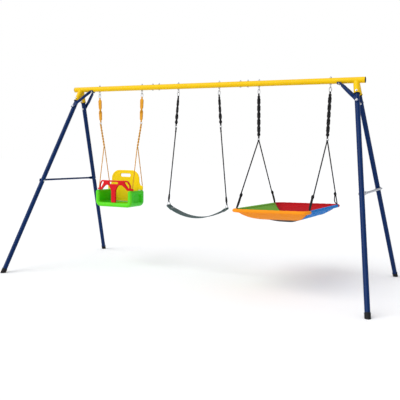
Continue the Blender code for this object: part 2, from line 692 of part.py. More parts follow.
def make_belt(steel, webbing, rubber):
    swing = pivot("belt_swing_axis", (BELT_X, 0, PIVOT_Z))
    rope_z = make_hangers(
        "belt", BELT_X, BELT_EYES, BELT_LINK, BELT_STRAP_END_Z, STRAP_R, steel, webbing, swing
    )
    seat = pivot("belt_seat_axis", (BELT_X, 0, RING_TOP_Z), swing)
    for side, word in SIDES:
        start = Vector((BELT_X + side * BELT_LINK, 0, rope_z - LOW_LINK_WIRE_R - ROPE_GAP))
        end = Vector((BELT_X + side * BELT_RING, 0, RING_TOP_Z + RING_CORNER_R + RING_WIRE_R + 0.001))
        rope(f"belt_rope_{word}", straight(start, end, 0.033), BELT_ROPE_R, webbing, swing)

        def corner(y, z, start_deg, end_deg):
            return [Vector((BELT_X + side * BELT_RING, a, b))
                    for a, b in arc(y, z, RING_CORNER_R, start_deg, end_deg, 4)]

        slope = math.degrees(math.atan2(RING_HALF_WIDTH - RING_CORNER_R, RING_HEIGHT - RING_CORNER_R))
        low = RING_TOP_Z - RING_HEIGHT + RING_CORNER_R
        path = corner(0, RING_TOP_Z, 180 - slope, slope)
        path += corner(RING_HALF_WIDTH - RING_CORNER_R, low, slope, -90)
        path += corner(RING_CORNER_R - RING_HALF_WIDTH, low, -90, -180 - slope)
        triangle = closed_wire(f"belt_triangle_{word}", path, Vector((1, 0, 0)), RING_WIRE_R, steel)
        hang(triangle, seat)

    reach = BELT_RING - RING_WIRE_R - GAP - 0.001
    rings = []
    steps = 16
    for i in range(steps + 1):
        x = reach * (2 * i / steps - 1)
        share = min(1.0, (1 - abs(x) / reach) / 0.3)
        half = BELT_END_HALF_WIDTH + (BELT_HALF_WIDTH - BELT_END_HALF_WIDTH) * math.sin(share * math.pi / 2)
        rise = 2 * BELT_SAG * x / BELT_RING ** 2
        normal = Vector((-rise, 0, 1)).normalized() * (BELT_THICKNESS / 2)
        centre = Vector((BELT_X + x, 0, belt_point(x)))
        edges = ((-half, 1), (half, 1), (half, -1), (-half, -1))
        rings.append([centre + Vector((0, y, 0)) + normal * face for y, face in edges])
    hang(loft("belt_seat", [rings], rubber), seat)


# ---- platform swing ----
def rim_path(half_x, half_y, radius, steps):
    """A rounded rectangle in X and Y."""
    path = []
    for k, (sx, sy) in enumerate(((1, 1), (-1, 1), (-1, -1), (1, -1))):
        path += arc(sx * (half_x - radius), sy * (half_y - radius), radius, 90 * k, 90 * k + 90, steps)
    return path


def off_level(points):
    """Points of the level platform, turned about the rim's middle to where the ropes hold them."""
    middle = Vector((PLATFORM_X, 0, RIM_Z))
    turn = Euler((PLATFORM_PITCH, PLATFORM_ROLL, 0)).to_matrix()
    return [middle + turn @ (point - middle) for point in points]


def make_platform(steel, webbing, fabric):
    swing = pivot("platform_swing_axis", (PLATFORM_X, 0, PIVOT_Z))
    tilt_z = make_hangers(
        "platform", PLATFORM_X, PLATFORM_EYES, PLATFORM_ROPES, PLATFORM_STRAP_END_Z,
        PLATFORM_STRAP_R, steel, webbing, swing,
    )
    seat = pivot("platform_seat_axis", (PLATFORM_X, 0, tilt_z), swing)
    top_z = tilt_z - LOW_LINK_WIRE_R - ROPE_GAP - PLATFORM_ROPE_R
    foot_z = RIM_Z + RIM_R + PLATFORM_ROPE_R
    for side, word in SIDES:
        x = PLATFORM_X + side * PLATFORM_ROPES
        front, back = off_level([Vector((x, end * RIM_ROPE_Y, foot_z)) for end in (-1, 1)])
        route = forked_route(x, top_z, PLATFORM_FORK_R, front.yz, back.yz, 0.034)
        rope(f"platform_rope_{word}", route, PLATFORM_ROPE_R, webbing, seat)

    path = off_level([Vector((PLATFORM_X + x, y, RIM_Z))
                      for x, y in rim_path(PLATFORM_ROPES, RIM_HALF_Y, RIM_CORNER_R, 6)])
    up = off_level([Vector((PLATFORM_X, 0, RIM_Z + 1))])[0] - Vector((PLATFORM_X, 0, RIM_Z))
    rim = closed_wire("platform_rim", path, up, RIM_R, steel, sides=12)
    bore = closed_wire("cut_rim_bore", path, up, RIM_BORE_R, None, sides=12)
    drain_x = PLATFORM_X + RIM_DRAIN_X
    drain_top, drain_end = off_level([Vector((drain_x, RIM_HALF_Y, RIM_Z - z)) for z in (0, 2 * RIM_R)])
    drain = rod("cut_rim_drain", drain_top, (drain_end - drain_top).normalized(), 2 * RIM_R, RIM_DRAIN_R, 8)
    boolean(rim, "DIFFERENCE", bore, drain)
    hang(rim, seat)

    edge_x = PLATFORM_ROPES - RIM_R - GAP
    edge_y = RIM_HALF_Y - RIM_R - GAP
    upper = []
    for share, drop, corner in MAT_STEPS:
        outline = rim_path(edge_x * share, edge_y * share, corner, 3)
        upper.append([Vector((PLATFORM_X + x, y, RIM_Z + drop)) for x, y in outline])
    lower = [[point - Vector((0, 0, MAT_THICKNESS)) for point in points] for points in upper]
    mat = loft("platform_mat", [[off_level(points) for points in upper[::-1] + lower]], fabric)
    hang(mat, seat)


def build():
    for piece in list(bpy.data.objects):
        bpy.data.objects.remove(piece)
    yellow = finish("yellow_paint", YELLOW, 0.35, 0.1)
    navy = finish("navy_paint", NAVY, 0.35, 0.2)
    black_plastic = finish("black_plastic", BLACK, 0.6, 0.0)
    steel = finish("zinc_steel", STEEL, 0.3, 1.0)
    orange_cord = finish("orange_cord", ORANGE, 0.9, 0.0)
    black_cord = finish("black_cord", BLACK, 0.9, 0.0)
    green = finish("green_plastic", GREEN, 0.35, 0.0)
    yellow_plastic = finish("yellow_plastic", YELLOW, 0.35, 0.0)
    red = finish("red_plastic", RED, 0.35, 0.0)
    rubber = finish("slate_rubber", SLATE, 0.7, 0.0)
    fabric = finish("platform_fabric", ORANGE, 0.9, 0.0)

    eyes = make_beam(yellow, black_plastic)
    make_legs(navy, black_plastic)
    make_braces(navy)
    make_crossbars(navy)
    make_eye_bolts(eyes, steel)
    make_toddler(steel, orange_cord, green, yellow_plastic, red)
    make_belt(steel, black_cord, rubber)
    make_platform(steel, black_cord, fabric)


build()
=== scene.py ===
# %% [markdown]
# # A swing set, dressed
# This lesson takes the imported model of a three-swing frame and gives it its looks. The tubes,
# bolts and links are already solid and exact, so they only need good finishes. The soft and
# moulded pieces, such as the mat, the straps, the ropes and the seats, are made again here with
# the detail that the plain solids leave out.

# %% Load the frame
import math

import bmesh
import bpy
from mathutils import Euler, Matrix, Vector, noise


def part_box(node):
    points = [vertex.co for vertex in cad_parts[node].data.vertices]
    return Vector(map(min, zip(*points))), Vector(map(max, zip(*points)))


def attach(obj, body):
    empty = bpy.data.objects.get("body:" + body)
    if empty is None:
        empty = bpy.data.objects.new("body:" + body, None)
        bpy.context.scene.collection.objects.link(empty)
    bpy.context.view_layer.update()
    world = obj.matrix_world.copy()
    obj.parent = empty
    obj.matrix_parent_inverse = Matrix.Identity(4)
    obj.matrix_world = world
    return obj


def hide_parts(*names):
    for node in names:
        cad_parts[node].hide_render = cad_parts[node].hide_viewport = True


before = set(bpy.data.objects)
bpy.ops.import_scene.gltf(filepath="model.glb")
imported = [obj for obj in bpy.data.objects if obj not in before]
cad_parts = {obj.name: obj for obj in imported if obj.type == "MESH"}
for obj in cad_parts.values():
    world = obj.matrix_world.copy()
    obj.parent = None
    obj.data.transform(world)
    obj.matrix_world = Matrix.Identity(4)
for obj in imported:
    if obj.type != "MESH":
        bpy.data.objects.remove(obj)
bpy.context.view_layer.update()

# %% [markdown]
# ## Camera
# The set is seen from the front right, at about chest height. A lens of about 52 mm gives it a
# calm, natural perspective. The direction is given as three angles, because a swing set
# is judged by how its beam and legs lean, and each angle moves one of those on its own.

# %% Camera
CAMERA_PLACE = Vector((2.3022, -4.8944, 1.1319))
CAMERA_AZIMUTH = -0.4094
CAMERA_ELEVATION = -0.1112
CAMERA_ROLL = 0.0177
LENS = 51.69  # mm
SENSOR = 36.0  # mm
SHIFT = (-0.05, 0.05)


def camera_turn(azimuth, elevation, roll):
    """The camera's rotation, as a matrix whose columns are right, up and backwards."""
    level = math.cos(elevation)
    forward = Vector((level * math.sin(azimuth), level * math.cos(azimuth), math.sin(elevation)))
    right = Vector((math.cos(azimuth), -math.sin(azimuth), 0))
    up = right.cross(forward)
    rolled_right = right * math.cos(roll) + up * math.sin(roll)
    rolled_up = up * math.cos(roll) - right * math.sin(roll)
    return Matrix((rolled_right, rolled_up, -forward)).transposed()


lens = bpy.data.cameras.new("camera")
lens.lens = LENS
lens.sensor_width = SENSOR
lens.shift_x, lens.shift_y = SHIFT
camera = bpy.data.objects.new("camera", lens)
camera.location = CAMERA_PLACE
camera.rotation_euler = camera_turn(CAMERA_AZIMUTH, CAMERA_ELEVATION, CAMERA_ROLL).to_euler()
bpy.context.scene.collection.objects.link(camera)
bpy.context.scene.camera = camera
print("camera at", tuple(round(x, 3) for x in camera.location))

# %% [markdown]
# ## Light and floor
# A studio lights a pale set from all round, so that shadows stay faint. The world is white where
# it is seen, and a little dimmer as a light, so that its reflection does not wash out dark
# paint. A very soft sun from the left adds highlights and a trace of shadow. A sun lights all
# of the floor alike, so no edge shows between the floor and the white behind it.

# %% Light and floor
FLOOR_HALF = 60.0
FLOOR_Z = -0.0005  # just under the feet
FLOOR_WHITE = (0.97, 0.97, 0.975, 1.0)
SKY_COLOUR = (0.97, 0.98, 1.0, 1.0)
AMBIENT = 0.66
SUN_POWER = 2.2
SUN_SPREAD = 60  # degrees
SUN_TILT = (50, 0, -30)  # degrees

world = bpy.data.worlds.new("studio")
world.use_nodes = True
sky = world.node_tree
seen = sky.nodes["Background"]
seen.inputs["Color"].default_value = (1.0, 1.0, 1.0, 1.0)
lit = sky.nodes.new("ShaderNodeBackground")
lit.inputs["Color"].default_value = SKY_COLOUR
lit.inputs["Strength"].default_value = AMBIENT
choice = sky.nodes.new("ShaderNodeMixShader")
sky.links.new(sky.nodes.new("ShaderNodeLightPath").outputs["Is Camera Ray"], choice.inputs["Fac"])
sky.links.new(lit.outputs["Background"], choice.inputs[1])
sky.links.new(seen.outputs["Background"], choice.inputs[2])
sky.links.new(choice.outputs["Shader"], sky.nodes["World Output"].inputs["Surface"])
bpy.context.scene.world = world
bpy.context.scene.view_settings.view_transform = "Standard"
sun_light = bpy.data.lights.new("sun", "SUN")
sun_light.energy = SUN_POWER
sun_light.angle = math.radians(SUN_SPREAD)
sun = bpy.data.objects.new("sun", sun_light)
sun.rotation_euler = [math.radians(angle) for angle in SUN_TILT]
bpy.context.scene.collection.objects.link(sun)

floor_mesh = bpy.data.meshes.new("floor")
corners = [(-1, -1), (1, -1), (1, 1), (-1, 1)]
floor_mesh.from_pydata([(x * FLOOR_HALF, y * FLOOR_HALF, FLOOR_Z) for x, y in corners], [], [(0, 1, 2, 3)])
floor = bpy.data.objects.new("floor", floor_mesh)
bpy.context.scene.collection.objects.link(floor)
floor_paint = bpy.data.materials.new("floor_paint")
floor_paint.use_nodes = True
floor_shader = floor_paint.node_tree.nodes["Principled BSDF"]
floor_shader.inputs["Base Color"].default_value = FLOOR_WHITE
floor_shader.inputs["Roughness"].default_value = 0.9
floor_mesh.materials.append(floor_paint)
print("floor and", len(bpy.data.lights), "light")

# %% [markdown]
# ## Tools for making pieces
# Almost every piece here is a skin over a row of rings: a rope is rings along a path, a washer
# is rings along an axis, and a moulded seat is rings from front to back. So one function skins
# rings, and the others only work out where the rings lie. Each piece also gets a UV map in
# metres, so that a weave or a braid keeps its real size.

# %% Skinning rings
CRISP = 30  # degrees: the least bend between two faces that still shows as an edge
FIRM = 40
SOFT = 60


def add_piece(name, verts, faces, uvs, material, body, sharp=FIRM):
    """A smooth-shaded mesh piece that rides on a body. uvs holds one pair for each face corner."""
    mesh = bpy.data.meshes.new(name)
    mesh.from_pydata([tuple(v) for v in verts], [], faces)
    layer = mesh.uv_layers.new(name="metres")
    flat = [value for pair in uvs for value in pair]
    layer.data.foreach_set("uv", flat)
    mesh.validate()
    shape = bmesh.new()
    shape.from_mesh(mesh)
    bmesh.ops.recalc_face_normals(shape, faces=shape.faces)
    shape.to_mesh(mesh)
    shape.free()
    mesh.shade_smooth()
    mesh.set_sharp_from_angle(angle=math.radians(sharp))
    mesh.materials.append(material)
    piece = bpy.data.objects.new(name, mesh)
    bpy.context.scene.collection.objects.link(piece)
    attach(piece, body)
    return piece


class Skin:
    """Collects rings, so that several bars or turned parts can become one piece."""

    def __init__(self):
        self.verts, self.faces, self.uvs = [], [], []

    def add(self, rings, closed_run=False, caps=True):
        """Skins one run of rings. A closed run has no ends, and caps fills the ends of others."""
        start, sides = len(self.verts), len(rings[0])
        along = 0.0
        lengths = []
        for i, ring in enumerate(rings):
            if i:
                along += (sum(ring, Vector()) - sum(rings[i - 1], Vector())).length / sides
            lengths.append(along)
            self.verts += ring
        girth = sum((rings[0][k] - rings[0][k - 1]).length for k in range(sides))
        runs = len(rings) if closed_run else len(rings) - 1
        for i in range(runs):
            j = (i + 1) % len(rings)
            u0, u1 = lengths[i], lengths[j] if j else along * len(rings) / max(1, len(rings) - 1)
            for k in range(sides):
                m = (k + 1) % sides
                self.faces.append((start + i * sides + k, start + i * sides + m,
                                   start + j * sides + m, start + j * sides + k))
                v0, v1 = girth * k / sides, girth * (k + 1) / sides
                self.uvs += [(u0, v0), (u0, v1), (u1, v1), (u1, v0)]
        if caps and not closed_run:
            for row, flip in ((0, True), (len(rings) - 1, False)):
                corners = [start + row * sides + k for k in range(sides)]
                self.faces.append(tuple(corners[::-1] if flip else corners))
                self.uvs += [(0.0, 0.0)] * sides
        return self

    def piece(self, name, material, body, slot, sharp=FIRM):
        return add_piece(name, self.verts, self.faces, self.uvs, material, body, sharp)


# %% [markdown]
# A sweep needs a steady pair of square directions along its path. Taking them from the curve's
# own bend would make them flip where it straightens, so each is carried over from the last one
# and only made square again.

# %% Where rings lie
def frames_along(path, hint, closed=False):
    """For each point of a path: its direction and two square directions that never jump. The
    first square direction starts as near as possible to hint."""
    result = []
    side = hint
    count = len(path)
    for i, point in enumerate(path):
        after = path[(i + 1) % count] if closed else path[min(i + 1, count - 1)]
        before = path[i - 1] if closed else path[max(i - 1, 0)]
        along = (after - before).normalized()
        side = (side - along * side.dot(along)).normalized()
        result.append((along, side, along.cross(side)))
    return result


def round_section(radius, sides=10):
    turns = [2 * math.pi * k / sides for k in range(sides)]
    return [(radius * math.cos(t), radius * math.sin(t)) for t in turns]


def band_section(width, thickness):
    """A flat band with softly rounded edges."""
    half, edge = width / 2, thickness / 2
    right = [(half - edge * 0.6, -edge), (half, -edge * 0.4),
             (half, edge * 0.4), (half - edge * 0.6, edge)]
    return [(0.0, -edge)] + right + [(0.0, edge)] + [(-a, b) for a, b in right[::-1]]


def sweep(path, section, hint, twist=None, closed=False):
    """Rings of a section along a path. twist gives the section's turn at each share of the
    path, and section may be a function of that share."""
    rings = []
    for i, (point, (along, side, up)) in enumerate(zip(path, frames_along(path, hint, closed))):
        share = i / max(1, len(path) - 1)
        turn = twist(share) if twist else 0.0
        a = side * math.cos(turn) + up * math.sin(turn)
        b = along.cross(a)
        shape = section(share) if callable(section) else section
        rings.append([point + a * x + b * y for x, y in shape])
    return rings


def turned(start, axis, profile, sides=24):
    """Rings for a turned piece: profile lists (distance along axis, radius)."""
    axis = Vector(axis).normalized()
    hint = Vector((0, 0, 1)) if abs(axis.z) < 0.9 else Vector((1, 0, 0))
    side = (hint - axis * hint.dot(axis)).normalized()
    up = axis.cross(side)
    rings = []
    for distance, radius in profile:
        centre = Vector(start) + axis * distance
        rings.append([centre + (side * math.cos(t) + up * math.sin(t)) * radius
                      for t in (2 * math.pi * k / sides for k in range(sides))])
    return rings


def straight(start, end, step):
    """Points from start to end, about a step apart."""
    count = max(2, round((Vector(end) - Vector(start)).length / step))
    return [Vector(start).lerp(Vector(end), i / count) for i in range(count + 1)]


def smooth_path(points, step):
    """A smooth curve through the points (Catmull-Rom), read off about every step."""
    result = []
    padded = [points[0] * 2 - points[1]] + list(points) + [points[-1] * 2 - points[-2]]
    for a, b, c, d in zip(padded, padded[1:], padded[2:], padded[3:]):
        count = max(1, round((c - b).length / step))
        for i in range(count):
            t = i / count
            result.append(0.5 * (2 * b + (c - a) * t + (2 * a - 5 * b + 4 * c - d) * t * t
                                 + (3 * b - a - 3 * c + d) * t ** 3))
    return result + [points[-1].copy()]


def length_of(path):
    return sum((b - a).length for a, b in zip(path, path[1:]))


def ease(share, start, end):
    """0 before start, 1 after end and smooth between them."""
    t = min(1.0, max(0.0, (share - start) / (end - start)))
    return t * t * (3 - 2 * t)


print("tools ready")

# %% [markdown]
# ## Finishes
# The set has few kinds of surface: sprayed steel, zinc-plated steel, moulded plastic, webbing,
# rope, soft rubber sheet and coated cloth. All of them share two small effects: a fine grain,
# which is orange peel on paint and texture on plastic, and slow patches, which are uneven
# colour and shine. Those are one node group. Weave and braid are two more, measured in metres
# along the UV map, so that a yarn has the same size on every piece.

# %% Node groups
def new_group(name, inputs, outputs):
    tree = bpy.data.node_groups.new(name, "ShaderNodeTree")
    for label, kind, value in inputs:
        socket = tree.interface.new_socket(label, in_out="INPUT", socket_type=kind)
        if value is not None:
            socket.default_value = value
    for label in outputs:
        tree.interface.new_socket(label, in_out="OUTPUT", socket_type="NodeSocketFloat")
    return tree, tree.nodes.new("NodeGroupInput").outputs, tree.nodes.new("NodeGroupOutput").inputs


def maths(tree, operation, *values):
    """A Math node on sockets or plain numbers. Returns its output."""
    node = tree.nodes.new("ShaderNodeMath")
    node.operation = operation
    for socket, value in zip(node.inputs, values):
        if hasattr(value, "is_linked"):
            tree.links.new(value, socket)
        else:
            socket.default_value = value
    return node.outputs[0]


def noise_of(tree, vector, scale, detail, roughness=0.5):
    node = tree.nodes.new("ShaderNodeTexNoise")
    node.inputs["Detail"].default_value = detail
    node.inputs["Roughness"].default_value = roughness
    tree.links.new(vector, node.inputs["Vector"])
    if hasattr(scale, "is_linked"):
        tree.links.new(scale, node.inputs["Scale"])
    else:
        node.inputs["Scale"].default_value = scale
    return node.outputs["Fac"]


def two_axes(tree, vector):
    node = tree.nodes.new("ShaderNodeSeparateXYZ")
    tree.links.new(vector, node.inputs[0])
    return node.outputs["X"], node.outputs["Y"]


surface, given, out = new_group(
    "surface", [("Vector", "NodeSocketVector", None), ("Grain", "NodeSocketFloat", 400.0),
                ("Patch", "NodeSocketFloat", 6.0)], ["Height", "Patches", "Scuffs"])
surface.links.new(noise_of(surface, given["Vector"], given["Grain"], 2.0), out["Height"])
surface.links.new(noise_of(surface, given["Vector"], given["Patch"], 4.0), out["Patches"])
scuff_noise = noise_of(surface, given["Vector"], 60.0, 6.0, 0.7)
scuff_place = noise_of(surface, given["Vector"], 7.0, 2.0)
scuffs = maths(surface, "MULTIPLY", maths(surface, "GREATER_THAN", scuff_noise, 0.68),
               maths(surface, "GREATER_THAN", scuff_place, 0.52))
surface.links.new(scuffs, out["Scuffs"])

weave, given, out = new_group(
    "weave", [("Vector", "NodeSocketVector", None), ("Yarn", "NodeSocketFloat", 0.002)], ["Height"])
u, v = two_axes(weave, given["Vector"])
wave_u, wave_v = [maths(weave, "SINE", maths(weave, "DIVIDE", maths(weave, "MULTIPLY", axis, math.pi),
                                            given["Yarn"])) for axis in (u, v)]
crossing = maths(weave, "MULTIPLY_ADD", maths(weave, "MULTIPLY", wave_u, wave_v), 0.5, 0.5)
weave.links.new(crossing, out["Height"])

braid, given, out = new_group(
    "braid", [("Vector", "NodeSocketVector", None), ("Strand", "NodeSocketFloat", 0.004)], ["Height"])
u, v = two_axes(braid, given["Vector"])
slopes = []
for operation in ("ADD", "SUBTRACT"):
    across = maths(braid, "DIVIDE", maths(braid, operation, u, v), given["Strand"])
    slopes.append(maths(braid, "ABSOLUTE", maths(braid, "SINE", maths(braid, "MULTIPLY", across, math.pi))))
braid.links.new(maths(braid, "MAXIMUM", *slopes), out["Height"])
print("node groups:", sorted(tree.name for tree in bpy.data.node_groups))

# %% [markdown]
# Every finish is the same small tree with its own values: two colours mixed by the patches,
# a shine between two values, and a bump from the grain and the pattern together. Making it in
# one function keeps the finishes comparable. Reflections are kept low, because white
# surroundings would wash out strong colours.

# %% One finish
def finish(name, dark, light, shine, metallic=0.0, grain=400.0, grain_depth=0.0001, patch=6.0,
           pattern=None, pitch=0.002, pattern_depth=0.0006, painted_hollow_shade=0.0, coat=0.0,
           scuff=None, specular=0.12):
    """A Principled material. dark and light are linear colours, shine is (glossy, dull)
    roughness, and pattern is a node group whose unit length is pitch."""
    material = bpy.data.materials.new(name)
    material.use_nodes = True
    tree = material.node_tree
    shader = tree.nodes["Principled BSDF"]
    shader.inputs["Metallic"].default_value = metallic
    shader.inputs["Coat Weight"].default_value = coat
    shader.inputs["Coat Roughness"].default_value = 0.12
    shader.inputs["Specular IOR Level"].default_value = specular
    place = tree.nodes.new("ShaderNodeTexCoord")
    base = tree.nodes.new("ShaderNodeGroup")
    base.node_tree = surface
    base.inputs["Grain"].default_value = grain
    base.inputs["Patch"].default_value = patch
    tree.links.new(place.outputs["Object"], base.inputs["Vector"])
    share = base.outputs["Patches"]
    bump = tree.nodes.new("ShaderNodeBump")
    bump.inputs["Strength"].default_value = 1.0
    bump.inputs["Distance"].default_value = grain_depth
    tree.links.new(base.outputs["Height"], bump.inputs["Height"])
    if pattern:
        cloth = tree.nodes.new("ShaderNodeGroup")
        cloth.node_tree = pattern
        cloth.inputs[1].default_value = pitch
        tree.links.new(place.outputs["UV"], cloth.inputs["Vector"])
        second = tree.nodes.new("ShaderNodeBump")
        second.inputs["Strength"].default_value = 1.0
        second.inputs["Distance"].default_value = pattern_depth
        tree.links.new(cloth.outputs["Height"], second.inputs["Height"])
        tree.links.new(bump.outputs["Normal"], second.inputs["Normal"])
        bump = second
        # Painted shade: the colour darkens in the pattern's hollows, between the yarns.
        shaded = maths(tree, "MULTIPLY", cloth.outputs["Height"], painted_hollow_shade)
        share = maths(tree, "ADD", maths(tree, "MULTIPLY", share, 1.0 - painted_hollow_shade), shaded)
    tree.links.new(bump.outputs["Normal"], shader.inputs["Normal"])
    blend = tree.nodes.new("ShaderNodeMix")
    blend.data_type = "RGBA"
    blend.inputs["A"].default_value = (*dark, 1.0)
    blend.inputs["B"].default_value = (*light, 1.0)
    tree.links.new(share, blend.inputs["Factor"])
    colour = blend.outputs["Result"]
    if scuff:
        worn = tree.nodes.new("ShaderNodeMix")
        worn.data_type = "RGBA"
        worn.inputs["B"].default_value = (*scuff, 1.0)
        tree.links.new(colour, worn.inputs["A"])
        tree.links.new(maths(tree, "MULTIPLY", base.outputs["Scuffs"], 0.55), worn.inputs["Factor"])
        colour = worn.outputs["Result"]
    tree.links.new(colour, shader.inputs["Base Color"])
    glossy, dull = shine
    tree.links.new(maths(tree, "MULTIPLY_ADD", base.outputs["Patches"], dull - glossy, glossy),
                   shader.inputs["Roughness"])
    return material


print("finish() is ready")

# %% [markdown]
# Here are the finishes themselves. The steel is sprayed yellow and navy, and lightly scuffed.
# The plastics have a fine moulded grain. Webbing and rope take their colour partly from the
# weave or braid: the hollows between the yarns are darkened with painted shade.

# %% The finishes
yellow_paint = finish("yellow_paint", (0.70, 0.42, 0.001), (0.84, 0.54, 0.002), (0.24, 0.40),
                      grain=300, grain_depth=0.00003, coat=0.03, scuff=(0.70, 0.44, 0.03))
navy_paint = finish("navy_paint", (0.0002, 0.012, 0.066), (0.0006, 0.023, 0.112), (0.20, 0.34),
                    grain=300, grain_depth=0.00003, scuff=(0.005, 0.025, 0.10))
plated_steel = finish("plated_steel", (0.30, 0.32, 0.37), (0.46, 0.48, 0.53), (0.25, 0.45), metallic=0.9,
                      grain=700, grain_depth=0.00008, patch=14)
zinc_steel = finish("zinc_steel", (0.45, 0.46, 0.48), (0.66, 0.67, 0.69), (0.22, 0.42), metallic=1.0,
                    grain=900, grain_depth=0.00006, patch=50)
black_plastic = finish("black_plastic", (0.006, 0.006, 0.007), (0.016, 0.016, 0.018), (0.45, 0.65),
                       grain=900, grain_depth=0.0001)
green_plastic = finish("green_plastic", (0.020, 0.50, 0.003), (0.050, 0.64, 0.006), (0.26, 0.38),
                       grain=1100, grain_depth=0.00006, coat=0.03)
yellow_plastic = finish("yellow_plastic", (0.84, 0.56, 0.003), (0.90, 0.64, 0.006), (0.26, 0.38),
                        grain=1100, grain_depth=0.00006, coat=0.03)
red_plastic = finish("red_plastic", (0.50, 0.004, 0.008), (0.66, 0.008, 0.014), (0.20, 0.34),
                     grain=1100, grain_depth=0.00006, coat=0.04)
rubber = finish("slate_rubber", (0.042, 0.068, 0.070), (0.070, 0.105, 0.105), (0.42, 0.60),
                grain=700, grain_depth=0.0002)
orange_webbing = finish("orange_webbing", (0.50, 0.21, 0.010), (0.80, 0.38, 0.030), (0.6, 0.8),
                        pattern=weave, pitch=0.0016, pattern_depth=0.0006, painted_hollow_shade=0.6, specular=0.15)
orange_rope = finish("orange_rope", (0.50, 0.22, 0.015), (0.80, 0.40, 0.040), (0.6, 0.8),
                     pattern=braid, pitch=0.0045, pattern_depth=0.0011, painted_hollow_shade=0.7, specular=0.15)
black_webbing = finish("black_webbing", (0.004, 0.004, 0.005), (0.020, 0.020, 0.022), (0.6, 0.8),
                       pattern=weave, pitch=0.0016, pattern_depth=0.0006, painted_hollow_shade=0.6, specular=0.15)
black_rope = finish("black_rope", (0.004, 0.004, 0.005), (0.022, 0.022, 0.024), (0.6, 0.8),
                    pattern=braid, pitch=0.0045, pattern_depth=0.0011, painted_hollow_shade=0.7, specular=0.15)
rim_steel = finish("rim_steel", (0.010, 0.010, 0.011), (0.024, 0.024, 0.026), (0.35, 0.5))
print("hard finishes and cords:", len(bpy.data.materials) - 1)

# %% [markdown]
# The seat's nose and the tops of its wings catch the light, and thin edges of moulded plastic
# let light through, so they look paler than thick walls. That is painted here as a highlight: they
# fade to a lighter green by their place on the seat. The mat's cloths all share one weave, with
# its painted shade in the hollows, and differ in colour.

# %% Painted highlight on the lips, and cloths
def paint_highlight(material, axis, start, end, colour):
    """Painted highlight: fades a material to a lighter colour between two places along one axis."""
    tree = material.node_tree
    shader = tree.nodes["Principled BSDF"]
    base = shader.inputs["Base Color"].links[0].from_socket
    split = tree.nodes.new("ShaderNodeSeparateXYZ")
    tree.links.new(tree.nodes.new("ShaderNodeTexCoord").outputs["Object"], split.inputs[0])
    fade = tree.nodes.new("ShaderNodeMapRange")
    fade.interpolation_type = "SMOOTHSTEP"
    tree.links.new(split.outputs[axis], fade.inputs["Value"])
    fade.inputs["From Min"].default_value = start
    fade.inputs["From Max"].default_value = end
    mixed = tree.nodes.new("ShaderNodeMix")
    mixed.data_type = "RGBA"
    mixed.inputs["B"].default_value = (*colour, 1.0)
    tree.links.new(fade.outputs["Result"], mixed.inputs["Factor"])
    tree.links.new(base, mixed.inputs["A"])
    tree.links.new(mixed.outputs["Result"], shader.inputs["Base Color"])


# Painted highlight: the nose and the wing tops are lighter green where the light falls on them.
paint_highlight(green_plastic, "Y", -0.112, -0.130, (0.10, 0.62, 0.014))
paint_highlight(green_plastic, "Z", 0.752, 0.768, (0.07, 0.58, 0.010))


# The cloths get the same painted shade in the hollows of their weave, at a lighter share.
def cloth_finish(name, dark, light):
    return finish(name, dark, light, (0.55, 0.75), pattern=weave, pitch=0.0018, pattern_depth=0.0005,
                  painted_hollow_shade=0.35, patch=9)


orange_cloth = cloth_finish("orange_cloth", (0.80, 0.22, 0.006), (0.95, 0.33, 0.012))
red_cloth = cloth_finish("red_cloth", (0.36, 0.002, 0.005), (0.52, 0.004, 0.010))
blue_cloth = cloth_finish("blue_cloth", (0.001, 0.15, 0.52), (0.002, 0.22, 0.66))
green_cloth = cloth_finish("green_cloth", (0.15, 0.42, 0.030), (0.22, 0.52, 0.055))
black_cloth = cloth_finish("black_cloth", (0.006, 0.006, 0.007), (0.020, 0.020, 0.021))
print("materials:", len(bpy.data.materials))

# %% [markdown]
# ## Finishing the solid pieces
# The tubes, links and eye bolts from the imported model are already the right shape, so each only
# gets its finish. What a node's name starts with says which. The plain solids of soft and
# moulded parts are left out of the list, because pieces made below take their place.

# %% Finishing the solid pieces
FINISHES = (
    ("beam_cap", black_plastic), ("beam", yellow_paint), ("leg", navy_paint), ("brace", navy_paint),
    ("crossbar_left", navy_paint), ("crossbar_right", plated_steel), ("foot_cap", black_plastic),
    ("eye_bolt", zinc_steel), ("toddler_top", zinc_steel), ("toddler_low", zinc_steel),
    ("belt_top", zinc_steel), ("belt_low", zinc_steel), ("belt_triangle", zinc_steel),
    ("platform_top", zinc_steel), ("platform_low", zinc_steel), ("platform_rim", rim_steel),
)
finished = 0
for name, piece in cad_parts.items():
    for start, material in FINISHES:
        if name.startswith(start):
            piece.data.materials.clear()
            piece.data.materials.append(material)
            finished += 1
            break
print("finished", finished, "of", len(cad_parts), "solid pieces")

# %% [markdown]
# ## Straps
# Each swing hangs from two lengths of webbing, sewn into an eye round the link above and the
# link below. A strap hangs taut but not flat: it was clipped on with some half turns in it, and
# it is gathered narrow where it passes through a link. It is folded lengthwise as well, so it
# is thick, and the platform's most of all. A band swept along a straight line, with a width and
# a turn that depend on how far along it is, gives all of that.

# %% Straps
TOP_WIRE_R = 0.003
LOW_WIRE_R = 0.0025
EYE_REACH = 0.020  # from a link's bar to where the two layers of an eye meet
EYE_WIDTH = 0.0125
EYE_THICKNESS = 0.0030
SPREAD_LENGTH = 0.016  # over which a strap opens from its eye to its full width
STRAP_STEP = 0.006
STRAP_END = 0.004  # from a link's bar to where a strap's own length starts


def link_bars(swing, hand, level):
    """The centres of a link's upper and lower bars."""
    wire = TOP_WIRE_R if level == "top" else LOW_WIRE_R
    low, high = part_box(f"{swing}_{level}_link_{hand}")
    x = (low.x + high.x) / 2
    return Vector((x, 0, high.z - wire)), Vector((x, 0, low.z + wire))


